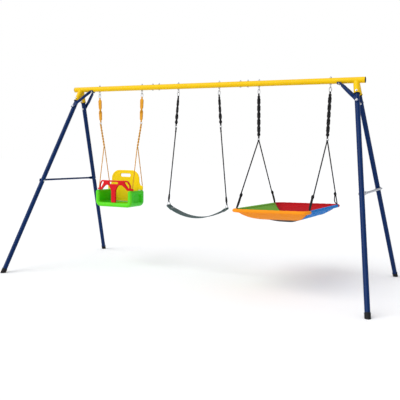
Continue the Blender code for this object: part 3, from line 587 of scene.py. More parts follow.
def folded_section(width, thickness):
    """Webbing folded lengthwise: two soft rolls with a groove along each face."""
    half, edge = width / 2, thickness / 2
    right = [(half * 0.45, -edge), (half * 0.85, -edge * 0.8), (half, 0.0),
             (half * 0.85, edge * 0.8), (half * 0.45, edge)]
    return [(0.0, -edge * 0.72)] + right + [(0.0, edge * 0.72)] + [(-a, b) for a, b in right[::-1]]


def eye_path(bar, away, radius, reach, spread=0.0008):
    """Round a bar that lies along X: up one side, over it and back. away points from the bar to
    the strap or rope."""
    across = away.cross(Vector((1, 0, 0))).normalized()
    points = [bar + away * reach + across * spread, bar + away * reach * 0.45 + across * radius * 0.85]
    for k in range(9):
        turn = math.pi * k / 8
        points.append(bar + across * radius * math.cos(turn) - away * radius * math.sin(turn))
    points += [bar + away * reach * 0.45 - across * radius * 0.85, bar + away * reach - across * spread]
    return smooth_path(points, 0.003)


STRAPS = (
    # swing, widths from top to bottom, thickness, half turns, where they start and end, material
    ("toddler", (0.038, 0.036, 0.033, 0.033, 0.028), 0.0165, 1, (0.35, 0.75), orange_webbing),
    ("belt", (0.023, 0.024, 0.024, 0.031, 0.029), 0.0170, 4, (0.0, 1.0), black_webbing),
    ("platform", (0.029, 0.031, 0.031, 0.031, 0.029), 0.0220, 6, (0.0, 1.0), black_webbing),
)


def between(values, share):
    """A value read off an evenly spaced row of them."""
    place = min(share, 0.9999) * (len(values) - 1)
    return values[int(place)] + (values[int(place) + 1] - values[int(place)]) * (place % 1)


for swing, widths, thickness, half_turns, (turn_from, turn_to), webbing in STRAPS:
    webbing_slot = "orange_webbing" if swing == "toddler" else "black_webbing"
    for hand in ("left", "right"):
        top = link_bars(swing, hand, "top")[1]
        end = link_bars(swing, hand, "low")[0]
        down = (end - top).normalized()
        path = straight(top + down * EYE_REACH * 0.5, end - down * EYE_REACH * 0.5, STRAP_STEP)
        reach = length_of(path)

        def strap_section(share):
            opened = ease(share * reach, 0, SPREAD_LENGTH)
            opened *= 1 - ease(share * reach, reach - SPREAD_LENGTH, reach)
            deep = EYE_THICKNESS + (thickness - EYE_THICKNESS) * opened
            return folded_section(EYE_WIDTH + (between(widths, share) - EYE_WIDTH) * opened, deep)

        def strap_turn(share):
            return math.pi * half_turns * (ease(share, turn_from, turn_to) if turn_to < 1 else share)

        skin = Skin()
        skin.add(sweep(path, strap_section, Vector((1, 0, 0)), strap_turn))
        layer = band_section(EYE_WIDTH, EYE_THICKNESS / 2)
        for bar, away, wire in ((top, down, TOP_WIRE_R), (end, -down, LOW_WIRE_R)):
            loop = eye_path(bar, away, wire + EYE_THICKNESS / 2, EYE_REACH)
            skin.add(sweep(loop, layer, Vector((1, 0, 0))))
        strap = skin.piece(f"{swing}_webbing_{hand}", webbing, f"{swing}_swing", webbing_slot)
        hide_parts(f"{swing}_strap_{hand}")
        route = [top + down * STRAP_END] + path + [end - down * STRAP_END]
        print(strap.name, "is", round(length_of(route), 3), "m long")

# %% [markdown]
# ## The toddler seat's ropes
# On each side one laid rope is doubled over the low link. Its two halves twist round each other
# for a hand's length or two, then part: one goes to the front of the seat, the other to the
# back. Each half is its own swept tube on a helix. Its section has three lobes that turn as it
# goes, which is the plainest way to show that a rope is laid from three strands.

# %% Toddler ropes
SPLIT_Z = 1.205
STRAND_R = 0.0052
TWIST_R = 0.0050  # from the pair's axis to a strand's centre
TWIST_HALF_TURNS = 7
LAY_LENGTH = 0.034  # of the rope's own three strands
TODDLER_ROPES = 0.195
TODDLER_X = -0.915
FRONT_FOOT = (-0.095, 0.7775)  # y and z
BACK_FOOT = (0.094, 0.822)
HELIX_STEPS = 6  # for each half turn


def laid_section(radius, lobes=3, depth=0.14, sides=12):
    turns = [2 * math.pi * k / sides for k in range(sides)]
    reach = [radius * (1 + depth * math.cos(lobes * t)) / (1 + depth) for t in turns]
    return [(r * math.cos(t), r * math.sin(t)) for r, t in zip(reach, turns)]


def laid_rope(path, radius, skin=None):
    """Adds a laid rope's rings along a path to a skin."""
    turn = 2 * math.pi * length_of(path) / LAY_LENGTH
    rings = sweep(path, laid_section(radius), Vector((1, 0, 0)), lambda share: turn * share)
    return (skin or Skin()).add(rings)


for side, hand in ((-1, "left"), (1, "right")):
    bar = link_bars("toddler", hand, "low")[1]
    split = Vector((TODDLER_X + side * TODDLER_ROPES, 0, SPLIT_Z))
    away = (split - bar).normalized()
    loop = laid_rope(eye_path(bar, away, LOW_WIRE_R + STRAND_R, EYE_REACH, TWIST_R), STRAND_R)
    rope_eye = loop.piece(f"toddler_rope_eye_{hand}", orange_rope, "toddler_seat", "orange_rope", SOFT)
    for strand, (y, z), word in ((0, FRONT_FOOT, "front"), (1, BACK_FOOT, "back")):
        points = []
        count = TWIST_HALF_TURNS * HELIX_STEPS
        for i in range(count + 1):
            share = i / count
            turn = math.pi * (TWIST_HALF_TURNS * (1 - share) + 1.5 + strand)
            centre = (bar + away * EYE_REACH).lerp(split, share)
            points.append(centre + Vector((math.cos(turn), math.sin(turn), 0)) * TWIST_R)
        foot = Vector((split.x, y, z))
        points += straight(points[-1].lerp(foot, 0.08), foot, 0.05)
        path = smooth_path(points, 0.004)
        skin = laid_rope(path, STRAND_R)
        cord = skin.piece(f"toddler_rope_{hand}_{word}", orange_rope, "toddler_seat", "orange_rope", SOFT)
        if strand == 0:
            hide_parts(f"toddler_twist_{hand}", f"toddler_rope_{hand}")
        print(cord.name, "is", round(length_of(path), 3), "m long")

# %% [markdown]
# ## The belt swing's ropes
# These are single braided ropes. Each is sewn into an eye round the low link and another round
# the triangle, and the lower splice is covered by a tapered plastic sleeve. The braid is in the
# material, because its strands are finer than a tube's facets could show.

# %% Belt ropes
BELT_X = -0.062
BELT_RING = 0.305
BELT_ROPE_R = 0.0055
EYE_ROPE_R = 0.0044  # the rope is thinner where its splice opens into an eye
RING_TOP_Z = 0.690
RING_WIRE_R = 0.0035
SLEEVE = ((0, 0.0075), (0.002, 0.0092), (0.012, 0.0098),
          (0.038, 0.0088), (0.052, 0.0072), (0.054, 0.006))
SLEEVE_START = 0.014  # up the rope from the triangle
WHIPPING = ((0, 0.0060), (0.001, 0.0074), (0.016, 0.0074), (0.017, 0.0060))
WHIPPING_START = 0.018  # down the rope from the link


def braided(path, radius, skin=None):
    return (skin or Skin()).add(sweep(path, round_section(radius, 12), Vector((1, 0, 0))))


for side, hand in ((-1, "left"), (1, "right")):
    bar = link_bars("belt", hand, "low")[1]
    ring_top = Vector((BELT_X + side * BELT_RING, 0, RING_TOP_Z))
    away = (ring_top - bar).normalized()
    path = straight(bar + away * EYE_REACH, ring_top - away * EYE_REACH, 0.02)
    cord = braided(path, BELT_ROPE_R)
    cord = cord.piece(f"belt_braid_{hand}", black_rope, "belt_swing", "black_rope", SOFT)
    loops = braided(eye_path(bar, away, LOW_WIRE_R + EYE_ROPE_R, EYE_REACH), EYE_ROPE_R)
    braided(eye_path(ring_top, -away, RING_WIRE_R + EYE_ROPE_R, EYE_REACH), EYE_ROPE_R, loops)
    loops = loops.piece(f"belt_rope_eyes_{hand}", black_rope, "belt_swing", "black_rope", SOFT)
    covers = Skin().add(turned(ring_top - away * SLEEVE_START, -away, SLEEVE))
    covers.add(turned(bar + away * WHIPPING_START, away, WHIPPING))
    sleeve = covers.piece(f"belt_sleeves_{hand}", black_plastic, "belt_swing", "black_plastic")
    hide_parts(f"belt_rope_{hand}")
    print(cord.name, "is", round(length_of(path), 3), "m long")

# %% [markdown]
# ## The platform's ropes
# One rope passes over each low link and runs to the front and to the back of the rim. There it
# goes in between two sleeves of cloth, which hide its turn round the steel, and comes back up
# beside itself to an adjuster, which is how the platform is levelled. The part that comes back
# is its own short piece, so that the long rope stays one straight length, easy to measure.

# %% Platform ropes
PLATFORM_X = 0.8525
PLATFORM_ROPES = 0.310
PLATFORM_ROPE_R = 0.0055
RIM_Z = 0.686
RIM_R = 0.0125
RIM_ROPE_Y = 0.500
PLATFORM_PITCH = -0.020
PLATFORM_ROLL = -0.018
ADJUSTER_AT = 0.115  # up the rope from the rim
ADJUSTER_OFF = 0.004  # sideways, over both runs of rope
ADJUSTER = ((0, 0.007), (0.003, 0.0105), (0.012, 0.0125),
            (0.022, 0.0125), (0.031, 0.0105), (0.034, 0.007))
TAIL = 0.030  # of the rope that stands out above its adjuster
TAIL_BOW = 0.0095  # how far the run that comes back stands off
SLACK_BOW = 0.019  # the same at the one rope whose tail is slack
WRAP_SHARE = 0.92  # of the rope's radius
FOLD_REACH = 0.012  # how far the fold over the link laps on to each rope


def off_level(point):
    """A point of the level platform, turned about the rim's middle to where its ropes hold it."""
    centre = Vector((PLATFORM_X, 0, RIM_Z))
    return centre + Euler((PLATFORM_PITCH, PLATFORM_ROLL, 0)).to_matrix() @ (Vector(point) - centre)


for side, hand in ((-1, "left"), (1, "right")):
    bar = link_bars("platform", hand, "low")[1]
    x = PLATFORM_X + side * PLATFORM_ROPES
    arc_r = LOW_WIRE_R + PLATFORM_ROPE_R
    starts = []
    for end, word in ((-1, "front"), (1, "back")):
        foot = off_level((x, end * RIM_ROPE_Y, RIM_Z + RIM_R + PLATFORM_ROPE_R))
        to_foot = foot - bar
        lean = math.atan2(to_foot.y, to_foot.z) - end * math.asin(arc_r / to_foot.length)
        touch = bar + Vector((0, end * arc_r * abs(math.cos(lean)), arc_r * abs(math.sin(lean))))
        path = straight(touch, foot, 0.03)
        up = (touch - foot).normalized()
        starts.append((touch, -up))
        cord = braided(path, PLATFORM_ROPE_R).piece(
            f"platform_braid_{hand}_{word}", black_rope, "platform_seat", "black_rope", SOFT)
        bow = SLACK_BOW if (hand, word) == ("right", "back") else TAIL_BOW
        across = Vector((side, 0, 0))
        tail_route = ((ADJUSTER_AT + TAIL, 0.0075), (ADJUSTER_AT, 0.0085), (ADJUSTER_AT * 0.5, bow),
                      (0.022, bow * 0.9), (0.004, 0.005), (-0.004, 0.0))  # up the rope, and off it
        route = [foot + up * rise - across * off for rise, off in tail_route]
        wrap = braided(smooth_path(route, 0.006), PLATFORM_ROPE_R * WRAP_SHARE)
        wrap = wrap.piece(f"platform_wrap_{hand}_{word}", black_rope, "platform_seat", "black_rope", SOFT)
        slide = Skin().add(turned(foot + up * ADJUSTER_AT - across * ADJUSTER_OFF, up, ADJUSTER))
        slide = slide.piece(f"platform_adjuster_{hand}_{word}", black_plastic, "platform_seat",
                            "black_plastic")
        if word == "back":
            (front, front_way), (back, back_way) = starts
            points = [front + front_way * FOLD_REACH, front, bar + Vector((0, 0, arc_r)),
                      back, back + back_way * FOLD_REACH]
            fold = braided(smooth_path(points, 0.003), PLATFORM_ROPE_R)
            fold = fold.piece(f"platform_fold_{hand}", black_rope, "platform_seat", "black_rope", SOFT)
            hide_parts(f"platform_rope_{hand}")
        print(cord.name, "is", round(length_of(path), 3), "m long")

# %% [markdown]
# ## The belt seat
# A strip of reinforced rubber hangs between two steel triangles. It is widest in the middle, has
# a thick bead along each edge and shallow ribs on top, and each end is folded under round its
# triangle and riveted. It is one sweep: the path starts in the fold on one side, goes over the
# triangle, along the sag and round the other triangle.

# %% Belt seat
BELT_SAG = 0.098
RING_HEIGHT = 0.044
BELT_HALF_WIDTH = 0.060
BELT_END_HALF_WIDTH = 0.031
BELT_THICKNESS = 0.0062
FOLD_START = 0.252  # from the middle, where the folded end lies under the belt
FOLD_STOPS = (0.266, 0.280, 0.292)  # more points along the fold, from the middle
FOLD_R = RING_WIRE_R + BELT_THICKNESS / 2 + 0.0004
RIBS = 5
RIB_HEIGHT = 0.0008
BEAD_HEIGHT = 0.0011


def belt_height(x):
    """The belt's hanging curve, by the distance from its middle."""
    return RING_TOP_Z - RING_HEIGHT - BELT_SAG * (1 - (x / BELT_RING) ** 2)


def belt_half_width(x):
    share = min(1.0, (1 - abs(x) / BELT_RING) / 0.32)
    return BELT_END_HALF_WIDTH + (BELT_HALF_WIDTH - BELT_END_HALF_WIDTH) * math.sin(share * math.pi / 2)


def belt_section(half, ribbed):
    """Across the belt: beads at the edges, ribs on top and a flat underside."""
    thick = BELT_THICKNESS / 2
    steps = 8 * RIBS
    top = []
    for k in range(steps + 1):
        across = 2 * k / steps - 1
        bead = BEAD_HEIGHT * ease(abs(across), 0.84, 0.94) * (1 - 0.9 * ease(abs(across), 0.965, 1.0))
        rib = RIB_HEIGHT * ribbed * max(0.0, math.cos(across * RIBS * math.pi))
        rib *= 1 - ease(abs(across), 0.70, 0.80)
        edge = thick * (1 - 0.75 * ease(abs(across), 0.97, 1.0))
        top.append((half * across, edge + bead + rib))
    low = [(half, -thick * 0.3), (half * 0.975, -thick), (0.0, -thick),
           (-half * 0.975, -thick), (-half, -thick * 0.3)]
    return top + low


def folded_end(side):
    """From the tip of the fold, round the triangle's bar and up on to the belt."""
    bar_z = RING_TOP_Z - RING_HEIGHT
    points = []
    for x in (FOLD_START, *FOLD_STOPS):
        gap = BELT_THICKNESS + 0.0006 + (FOLD_R - BELT_THICKNESS) * ease(x, 0.270, 0.304)
        points.append(Vector((BELT_X + side * x, 0, belt_height(x) - gap)))
    for k in range(9):
        turn = math.pi * (k / 8 - 0.5)
        points.append(Vector((BELT_X + side * (BELT_RING + FOLD_R * math.cos(turn)), 0,
                              bar_z + FOLD_R * math.sin(turn))))
    for x in FOLD_STOPS[::-1]:
        points.append(Vector((BELT_X + side * x, 0, belt_height(x) + FOLD_R * ease(x, 0.266, 0.304))))
    return points


middle_run = [Vector((BELT_X + x / 1000, 0, belt_height(x / 1000))) for x in range(-252, 253, 12)]
path = smooth_path(folded_end(-1) + middle_run + folded_end(1)[::-1], 0.006)
halves = [belt_half_width(point.x - BELT_X) for point in path]
rings = []
for point, half, (along, side, up) in zip(path, halves, frames_along(path, Vector((0, 1, 0)))):
    ribbed = 1 - ease(abs(point.x - BELT_X), 0.20, 0.24)
    rings.append([point + side * a + up * -b for a, b in belt_section(half, ribbed)])
belt = Skin().add(rings).piece("belt_rubber", rubber, "belt_seat", "slate_rubber", SOFT)
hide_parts("belt_seat")
print("belt seat:", len(path), "rings,", round(length_of(path), 3), "m of strip")

# %% [markdown]
# Two rivets with washers hold each fold. They are turned profiles, and they stand square to
# the belt, so each one is placed by the slope there.

# %% Belt rivets
RIVET = ((-0.0132, 0.0), (-0.0128, 0.0032), (-0.0112, 0.0048), (-0.0102, 0.0085), (-0.0094, 0.0085),
         (0.0034, 0.0085), (0.0042, 0.0085), (0.0052, 0.0048), (0.0068, 0.0032), (0.0072, 0.0))
RIVET_PLACE = (0.262, 0.016)  # from the belt's middle, along it and across it
rivets = Skin()
for side in (-1, 1):
    for y in (-RIVET_PLACE[1], RIVET_PLACE[1]):
        x = side * RIVET_PLACE[0]
        slope = 2 * BELT_SAG * x / BELT_RING ** 2
        rivets.add(turned((BELT_X + x, y, belt_height(x)), (-slope, 0, 1), RIVET))
rivets.piece("belt_rivets", zinc_steel, "belt_seat", "zinc_steel", CRISP)
print("rivets: 4")

# %% [markdown]
# ## The platform's mat
# Four coloured panels and a black centre are sewn into one shallow tray and hung inside the
# rim. Real fabric does not keep the flat faces of the plain solid, so the tray is made as a
# grid in the shape it was sewn to, and a short cloth simulation lets it settle under its own
# weight, held at the rim. The grid is square in shares of the rim's size, so that its diagonals
# are the seams between the panels.

# %% Mat grid
MAT_CELLS = 44
MAT_REACH = (0.2972, 0.5872)
RIM_CORNER_R = 0.045
MAT_DROP = ((0.0, -0.118), (0.22, -0.110), (0.45, -0.082), (0.62, -0.074),  # share of the reach, height
            (0.79, -0.060), (0.91, -0.034), (1.0, 0.0))
CENTRE_SHARE = 0.45
SEAM_Y = RIM_ROPE_Y  # where the panels' seams meet the rim, at the ropes
MAT_COLOURS = (orange_cloth, blue_cloth, red_cloth, green_cloth, black_cloth)


def mat_height(share):
    for (a, low), (b, high) in zip(MAT_DROP, MAT_DROP[1:]):
        if share <= b:
            return low + (high - low) * (share - a) / (b - a)
    return 0.0


def mat_place(u, v):
    """A level point of the mat from two shares of its reach. Rings of equal share are rounded
    rectangles, and on each the diagonal of the grid falls where the panels' seam is."""
    share = max(abs(u), abs(v), 0.0001)
    half_x, half_y = share * MAT_REACH[0], share * MAT_REACH[1]
    outward = max(0.0, (share - CENTRE_SHARE) / (1 - CENTRE_SHARE))
    seam_y = half_y * (1 - outward * (1 - SEAM_Y / MAT_REACH[1]))
    if abs(v) >= abs(u):
        along = abs(u) / share * (half_x + half_y - seam_y)
        x, y = min(along, half_x), half_y - max(0.0, along - half_x)
    else:
        x, y = half_x, abs(v) / share * seam_y
    corner = RIM_CORNER_R * share
    into_x = min(1.0, max(0.0, x - half_x + corner) / corner)
    into_y = min(1.0, max(0.0, y - half_y + corner) / corner)
    x -= corner * into_x * (1 - math.sqrt(1 - into_y ** 2 / 2))
    y -= corner * into_y * (1 - math.sqrt(1 - into_x ** 2 / 2))
    return Vector((PLATFORM_X + math.copysign(x, u), math.copysign(y, v), RIM_Z + mat_height(share)))


def mat_panel(u, v):
    """0 front, 1 right, 2 back, 3 left, 4 centre."""
    if max(abs(u), abs(v)) < CENTRE_SHARE:
        return 4
    if abs(v) > abs(u):
        return 0 if v < 0 else 2
    return 1 if u > 0 else 3


shares = [2 * i / MAT_CELLS - 1 for i in range(MAT_CELLS + 1)]
grid = bmesh.new()
points = [[grid.verts.new(mat_place(u, v)) for v in shares] for u in shares]
grid_uv = grid.loops.layers.uv.new("metres")
for i in range(MAT_CELLS):
    for k in range(MAT_CELLS):
        square = [(i, k), (i + 1, k), (i + 1, k + 1), (i, k + 1)]
        if i == k:
            parts = [(square[0], square[1], square[2]), (square[0], square[2], square[3])]
        elif i + k == MAT_CELLS - 1:
            parts = [(square[0], square[1], square[3]), (square[1], square[2], square[3])]
        else:
            parts = [tuple(square)]
        for part in parts:
            face = grid.faces.new([points[a][b] for a, b in part])
            u = sum(shares[a] for a, b in part) / len(part)
            v = sum(shares[b] for a, b in part) / len(part)
            face.material_index = mat_panel(u, v)
            face.smooth = True
            for loop, (a, b) in zip(face.loops, part):
                loop[grid_uv].uv = (shares[a] * MAT_REACH[0], shares[b] * MAT_REACH[1])
mat_mesh = bpy.data.meshes.new("mat")
grid.to_mesh(mat_mesh)
grid.free()
for colour in MAT_COLOURS:
    mat_mesh.materials.append(colour)
mat = bpy.data.objects.new("platform_cloth", mat_mesh)
bpy.context.scene.collection.objects.link(mat)
print("mat grid:", len(mat_mesh.vertices), "points")

# %% [markdown]
# The simulation runs for 20 frames with the outer edge pinned. The mat's own sewn shape is its
# rest shape, so it only takes up its slack. How far a point may move is capped, because the
# rim and the ropes are already where the real weight would hold them.

# %% Letting the mat settle
SETTLE_FRAMES = 20
SETTLE_MOST = 0.005


def settle(piece, pinned):
    """Runs Cloth on a piece held at its pinned points and applies it, with its movement capped."""
    before = [vertex.co.copy() for vertex in piece.data.vertices]
    group = piece.vertex_groups.new(name="held")
    group.add(pinned, 1.0, "REPLACE")
    cloth = piece.modifiers.new("cloth", "CLOTH")
    cloth.settings.quality = 6
    cloth.settings.mass = 0.25
    cloth.settings.tension_stiffness = 80
    cloth.settings.compression_stiffness = 12
    cloth.settings.shear_stiffness = 12
    cloth.settings.bending_stiffness = 0.6
    cloth.settings.vertex_group_mass = "held"
    cloth.collision_settings.use_collision = False
    for number in range(1, SETTLE_FRAMES + 1):
        bpy.context.scene.frame_set(number)
    shape = piece.evaluated_get(bpy.context.evaluated_depsgraph_get()).data
    after = [vertex.co.copy() for vertex in shape.vertices]
    piece.modifiers.remove(cloth)
    bpy.context.scene.frame_set(1)
    most = 0.0
    for vertex, old, new in zip(piece.data.vertices, before, after):
        move = new - old
        if move.length > SETTLE_MOST:
            move *= SETTLE_MOST / move.length
        most = max(most, move.length)
        vertex.co = old + move
    print(piece.name, "moved by at most", round(most, 4), "m")


edge = [i for i, vertex in enumerate(mat_mesh.vertices) if abs(vertex.co.z - RIM_Z) < 0.0005]
settle(mat, edge)

# %% [markdown]
# Sewn cloth is never quite even, so after the simulation a slow noise lifts and lowers it by a
# millimetre or two, less and less towards the rim. The sheet is then turned to the angle at
# which its four ropes hold it, and given its thickness and one subdivision.

# %% Mat finish
MAT_THICKNESS = 0.0022
PUFF = 0.0022
PUFF_PITCH = (4.0, 7.0)  # waves of the noise across and along the mat
for vertex in mat_mesh.vertices:
    level = vertex.co
    u = (level.x - PLATFORM_X) / MAT_REACH[0]
    v = level.y / MAT_REACH[1]
    puff = noise.noise(Vector((u * PUFF_PITCH[0], v * PUFF_PITCH[1], 0.0))) * PUFF
    level.z += puff * (1 - ease(max(abs(u), abs(v)), 0.82, 0.98))
for vertex in mat_mesh.vertices:
    vertex.co = off_level(vertex.co)
thick = mat.modifiers.new("thickness", "SOLIDIFY")
thick.thickness = MAT_THICKNESS
thick.offset = 0.0
smooth = mat.modifiers.new("smooth", "SUBSURF")
smooth.levels = 1
smooth.render_levels = 1
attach(mat, "platform_seat")
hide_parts("platform_mat")

# %% [markdown]
# ## The rim's sleeves
# Each panel's outer edge is a sleeve that the rim slides through. The sleeves meet at the ropes,
# which go in there to the steel. A sleeve is a sweep round the rim whose radius swells and
# shrinks a little, as gathered cloth does.

# %% Rim sleeve
SLEEVE_R = RIM_R + 0.0018
SLOT_HALF = 0.004  # half the gap between two sleeves, where a rope goes in
RIM_HALF_Y = 0.600
RIM_BEND_R = 0.055


def rim_corner(sx, sy, start, end):
    """Points round one corner of the rim, between two angles in degrees."""
    result = []
    for k in range(9):
        turn = math.radians(start + (end - start) * k / 8)
        x = PLATFORM_X + sx * (PLATFORM_ROPES - RIM_BEND_R) + RIM_BEND_R * math.cos(turn)
        y = sy * (RIM_HALF_Y - RIM_BEND_R) + RIM_BEND_R * math.sin(turn)
        result.append(off_level((x, y, RIM_Z)))
    return result


def sleeve_piece(name, path, cloth):
    """A slightly gathered tube of cloth round the rim."""
    def gathered(share):
        swell = 1 + 0.035 * math.sin(share * length_of(path) / 0.011) + 0.02 * math.sin(share * 61.0)
        return round_section(SLEEVE_R * swell, 14)
    skin = Skin().add(sweep(path, gathered, Vector((0, 0, 1))))
    skin.piece(name, cloth, "platform_seat", "platform_fabric", SOFT)


for end, word, cloth in ((-1, "front", orange_cloth), (1, "back", red_cloth)):
    left = rim_corner(-1, end, 180, 180 - end * 90)
    right = rim_corner(1, end, end * 90, 0)
    tips = [off_level((PLATFORM_X + side * PLATFORM_ROPES, end * (RIM_ROPE_Y + SLOT_HALF), RIM_Z))
            for side in (-1, 1)]
    path = straight(tips[0], left[0], 0.006)[:-1] + left + straight(left[-1], right[0], 0.004)[1:-1]
    path += right + straight(right[-1], tips[1], 0.006)[1:]
    sleeve_piece(f"platform_sleeve_{word}", path, cloth)
for side, word, cloth in ((-1, "left", green_cloth), (1, "right", blue_cloth)):
    x = PLATFORM_X + side * PLATFORM_ROPES
    ends = [off_level((x, end * (RIM_ROPE_Y - SLOT_HALF), RIM_Z)) for end in (-1, 1)]
    sleeve_piece(f"platform_sleeve_{word}", straight(*ends, 0.004), cloth)
print("rim sleeves: 4")

# %% [markdown]
# Welts cover the seams: four from the ropes to the corners of the black centre, and one round
# it. They follow the settled mat's own points, so they lie on it whatever shape it took.

# %% Welts
WELT_R = 0.0026
welts = Skin()


def mat_spot(u, v):
    """The settled mat's point nearest to two shares of its reach."""
    i, k = (round((share + 1) / 2 * MAT_CELLS) for share in (u, v))
    return mat_mesh.vertices[i * (MAT_CELLS + 1) + k].co.copy()


for su in (-1, 1):
    for sv in (-1, 1):
        seam = [mat_spot(su * share, sv * share) for share in (CENTRE_SHARE + 0.05 * n for n in range(11))]
        welts.add(sweep(smooth_path(seam, 0.012), round_section(WELT_R, 8), Vector((0, 0, 1))))
corner_shares = ((-1, -1), (1, -1), (1, 1), (-1, 1))
square = []
for (a, b), (c, d) in zip(corner_shares, corner_shares[1:] + corner_shares[:1]):
    for n in range(10):
        u, v = a + (c - a) * n / 10, b + (d - b) * n / 10
        square.append(mat_spot(CENTRE_SHARE * u, CENTRE_SHARE * v))
welts.add(sweep(square, round_section(WELT_R, 8), Vector((0, 0, 1)), closed=True), closed_run=True)
welts = welts.piece("platform_welts", black_webbing, "platform_seat", "platform_fabric", SOFT)
print("welts: 5")

# %% [markdown]
# ## The toddler seat's shell
# The bucket is blow-moulded: double-walled all round, with full round edges and a pocket in the
# outside of each wing. It is skinned from front to back. Every ring is the same U-shaped
# outline, and near each end the outline shrinks along a quarter circle, which rounds the nose
# of the floor and of both wings at once. The pockets are pressed in afterwards.

# %% Seat shell
SEAT_HALF_WIDTH = 0.208
SEAT_WALL = 0.042
SEAT_BOTTOM_Z = 0.612
SEAT_TOP_Z = 0.775
SEAT_FRONT_Y = -0.141
SEAT_BACK_Y = 0.109
NOSE_R = 0.018
SEAT_STEP = 0.005
POCKET_EDGE = 70  # degrees, so that the pocket's slopes stay soft
POCKET = (0.076, 0.046, 0.024, 0.017)  # half length, half height, corner radius and depth
POCKET_BELOW = 0.078  # from the wing's top to the pocket's middle
POCKET_SLOPE = 0.014  # the width of its sloping sides


def rounded_outline(corners, runs, arc_steps=6):
    """A closed outline with a rounded corner at each (x, z, radius), as dense points. runs
    gives how many steps each straight edge after a corner has."""
    count = len(corners)
    result = []
    for i, (x, z, radius) in enumerate(corners):
        here = Vector((x, z))
        before = (Vector(corners[i - 1][:2]) - here).normalized()
        after = (Vector(corners[(i + 1) % count][:2]) - here).normalized()
        half = before.angle(after) / 2
        cut = radius / math.tan(half)
        centre = here + (before + after).normalized() * radius / math.sin(half)
        start, end = here + before * cut, here + after * cut
        for k in range(arc_steps + 1):
            spot = start.lerp(end, k / arc_steps) - centre
            result.append(centre + spot.normalized() * radius)
        following = corners[(i + 1) % count]
        there = Vector(following[:2])
        far_half = (here - there).angle(Vector(corners[(i + 2) % count][:2]) - there) / 2
        next_start = there + (here - there).normalized() * following[2] / math.tan(far_half)
        for k in range(1, runs[i]):
            result.append(end.lerp(next_start, k / runs[i]))
    return result


def seat_section(inset):
    """The U-shaped section, made smaller by inset on every face."""
    outer, inner = SEAT_HALF_WIDTH - inset, SEAT_HALF_WIDTH - SEAT_WALL + inset
    top, bottom = SEAT_TOP_Z - inset, SEAT_BOTTOM_Z + inset
    floor_z = SEAT_BOTTOM_Z + SEAT_WALL - inset
    wing_r = max(0.002, 0.0195 - inset)
    right = [(inner, top, wing_r), (outer, top, wing_r), (outer, bottom, 0.055 - inset)]
    left = [(-x, z, r) for x, z, r in right[::-1]]
    hollow = [(-inner, floor_z, 0.016 + inset), (inner, floor_z, 0.016 + inset)]
    return rounded_outline(right + left + hollow, (1, 28, 40, 28, 1, 14, 40, 14))


quarter_turns = [math.pi / 2 * k / 6 for k in range(7)]
quarter = [(NOSE_R * (1 - math.cos(t)), NOSE_R * (1 - math.sin(t))) for t in quarter_turns]
stations = [(SEAT_FRONT_Y + forward, inset) for forward, inset in quarter]
flat_steps = round((SEAT_BACK_Y - SEAT_FRONT_Y - 2 * NOSE_R) / SEAT_STEP)
stations += [(SEAT_FRONT_Y + NOSE_R + (SEAT_BACK_Y - SEAT_FRONT_Y - 2 * NOSE_R) * k / flat_steps, 0.0)
             for k in range(1, flat_steps)]
stations += [(SEAT_BACK_Y - forward, inset) for forward, inset in quarter[::-1]]
rings = [[Vector((TODDLER_X + x, y, z)) for x, z in seat_section(inset)] for y, inset in stations]


def pocket_depth(y, z):
    """How far the pocket is pressed in at a place on a wing's outer face."""
    half_length, half_height, corner, depth = POCKET
    away_y = abs(y - (SEAT_FRONT_Y + SEAT_BACK_Y) / 2) - half_length + corner
    away_z = abs(z - (SEAT_TOP_Z - POCKET_BELOW)) - half_height + corner
    outside = math.hypot(max(away_y, 0.0), max(away_z, 0.0)) + min(max(away_y, away_z), 0.0) - corner
    return depth * ease(-outside, 0.0, POCKET_SLOPE)


for ring_points in rings:
    for point in ring_points:
        sideways = point.x - TODDLER_X
        if abs(sideways) > SEAT_HALF_WIDTH - 0.0005:
            point.x -= math.copysign(pocket_depth(point.y, point.z), sideways)
shell = Skin().add(rings).piece("toddler_shell", green_plastic, "toddler_seat", "green_plastic", POCKET_EDGE)
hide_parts("toddler_seat_shell")
print("shell:", len(rings), "rings of", len(rings[0]), "points")

# %% [markdown]
# ## The backrest and the guard
# Both are moulded plates with holes and fully rounded edges. A 2-D curve is the shortest way to
# make one: outlines inside an outline become holes, and the curve's own bevel rounds every
# edge. The result is cut across at even steps, because a flat face has no points to bend, and
# then bowed.

# %% Plates
PLATE_STEP = 0.012  # between the cuts that let a plate bend
WELD_DISTANCE = 0.00001  # between points of a curve's mesh that are one point


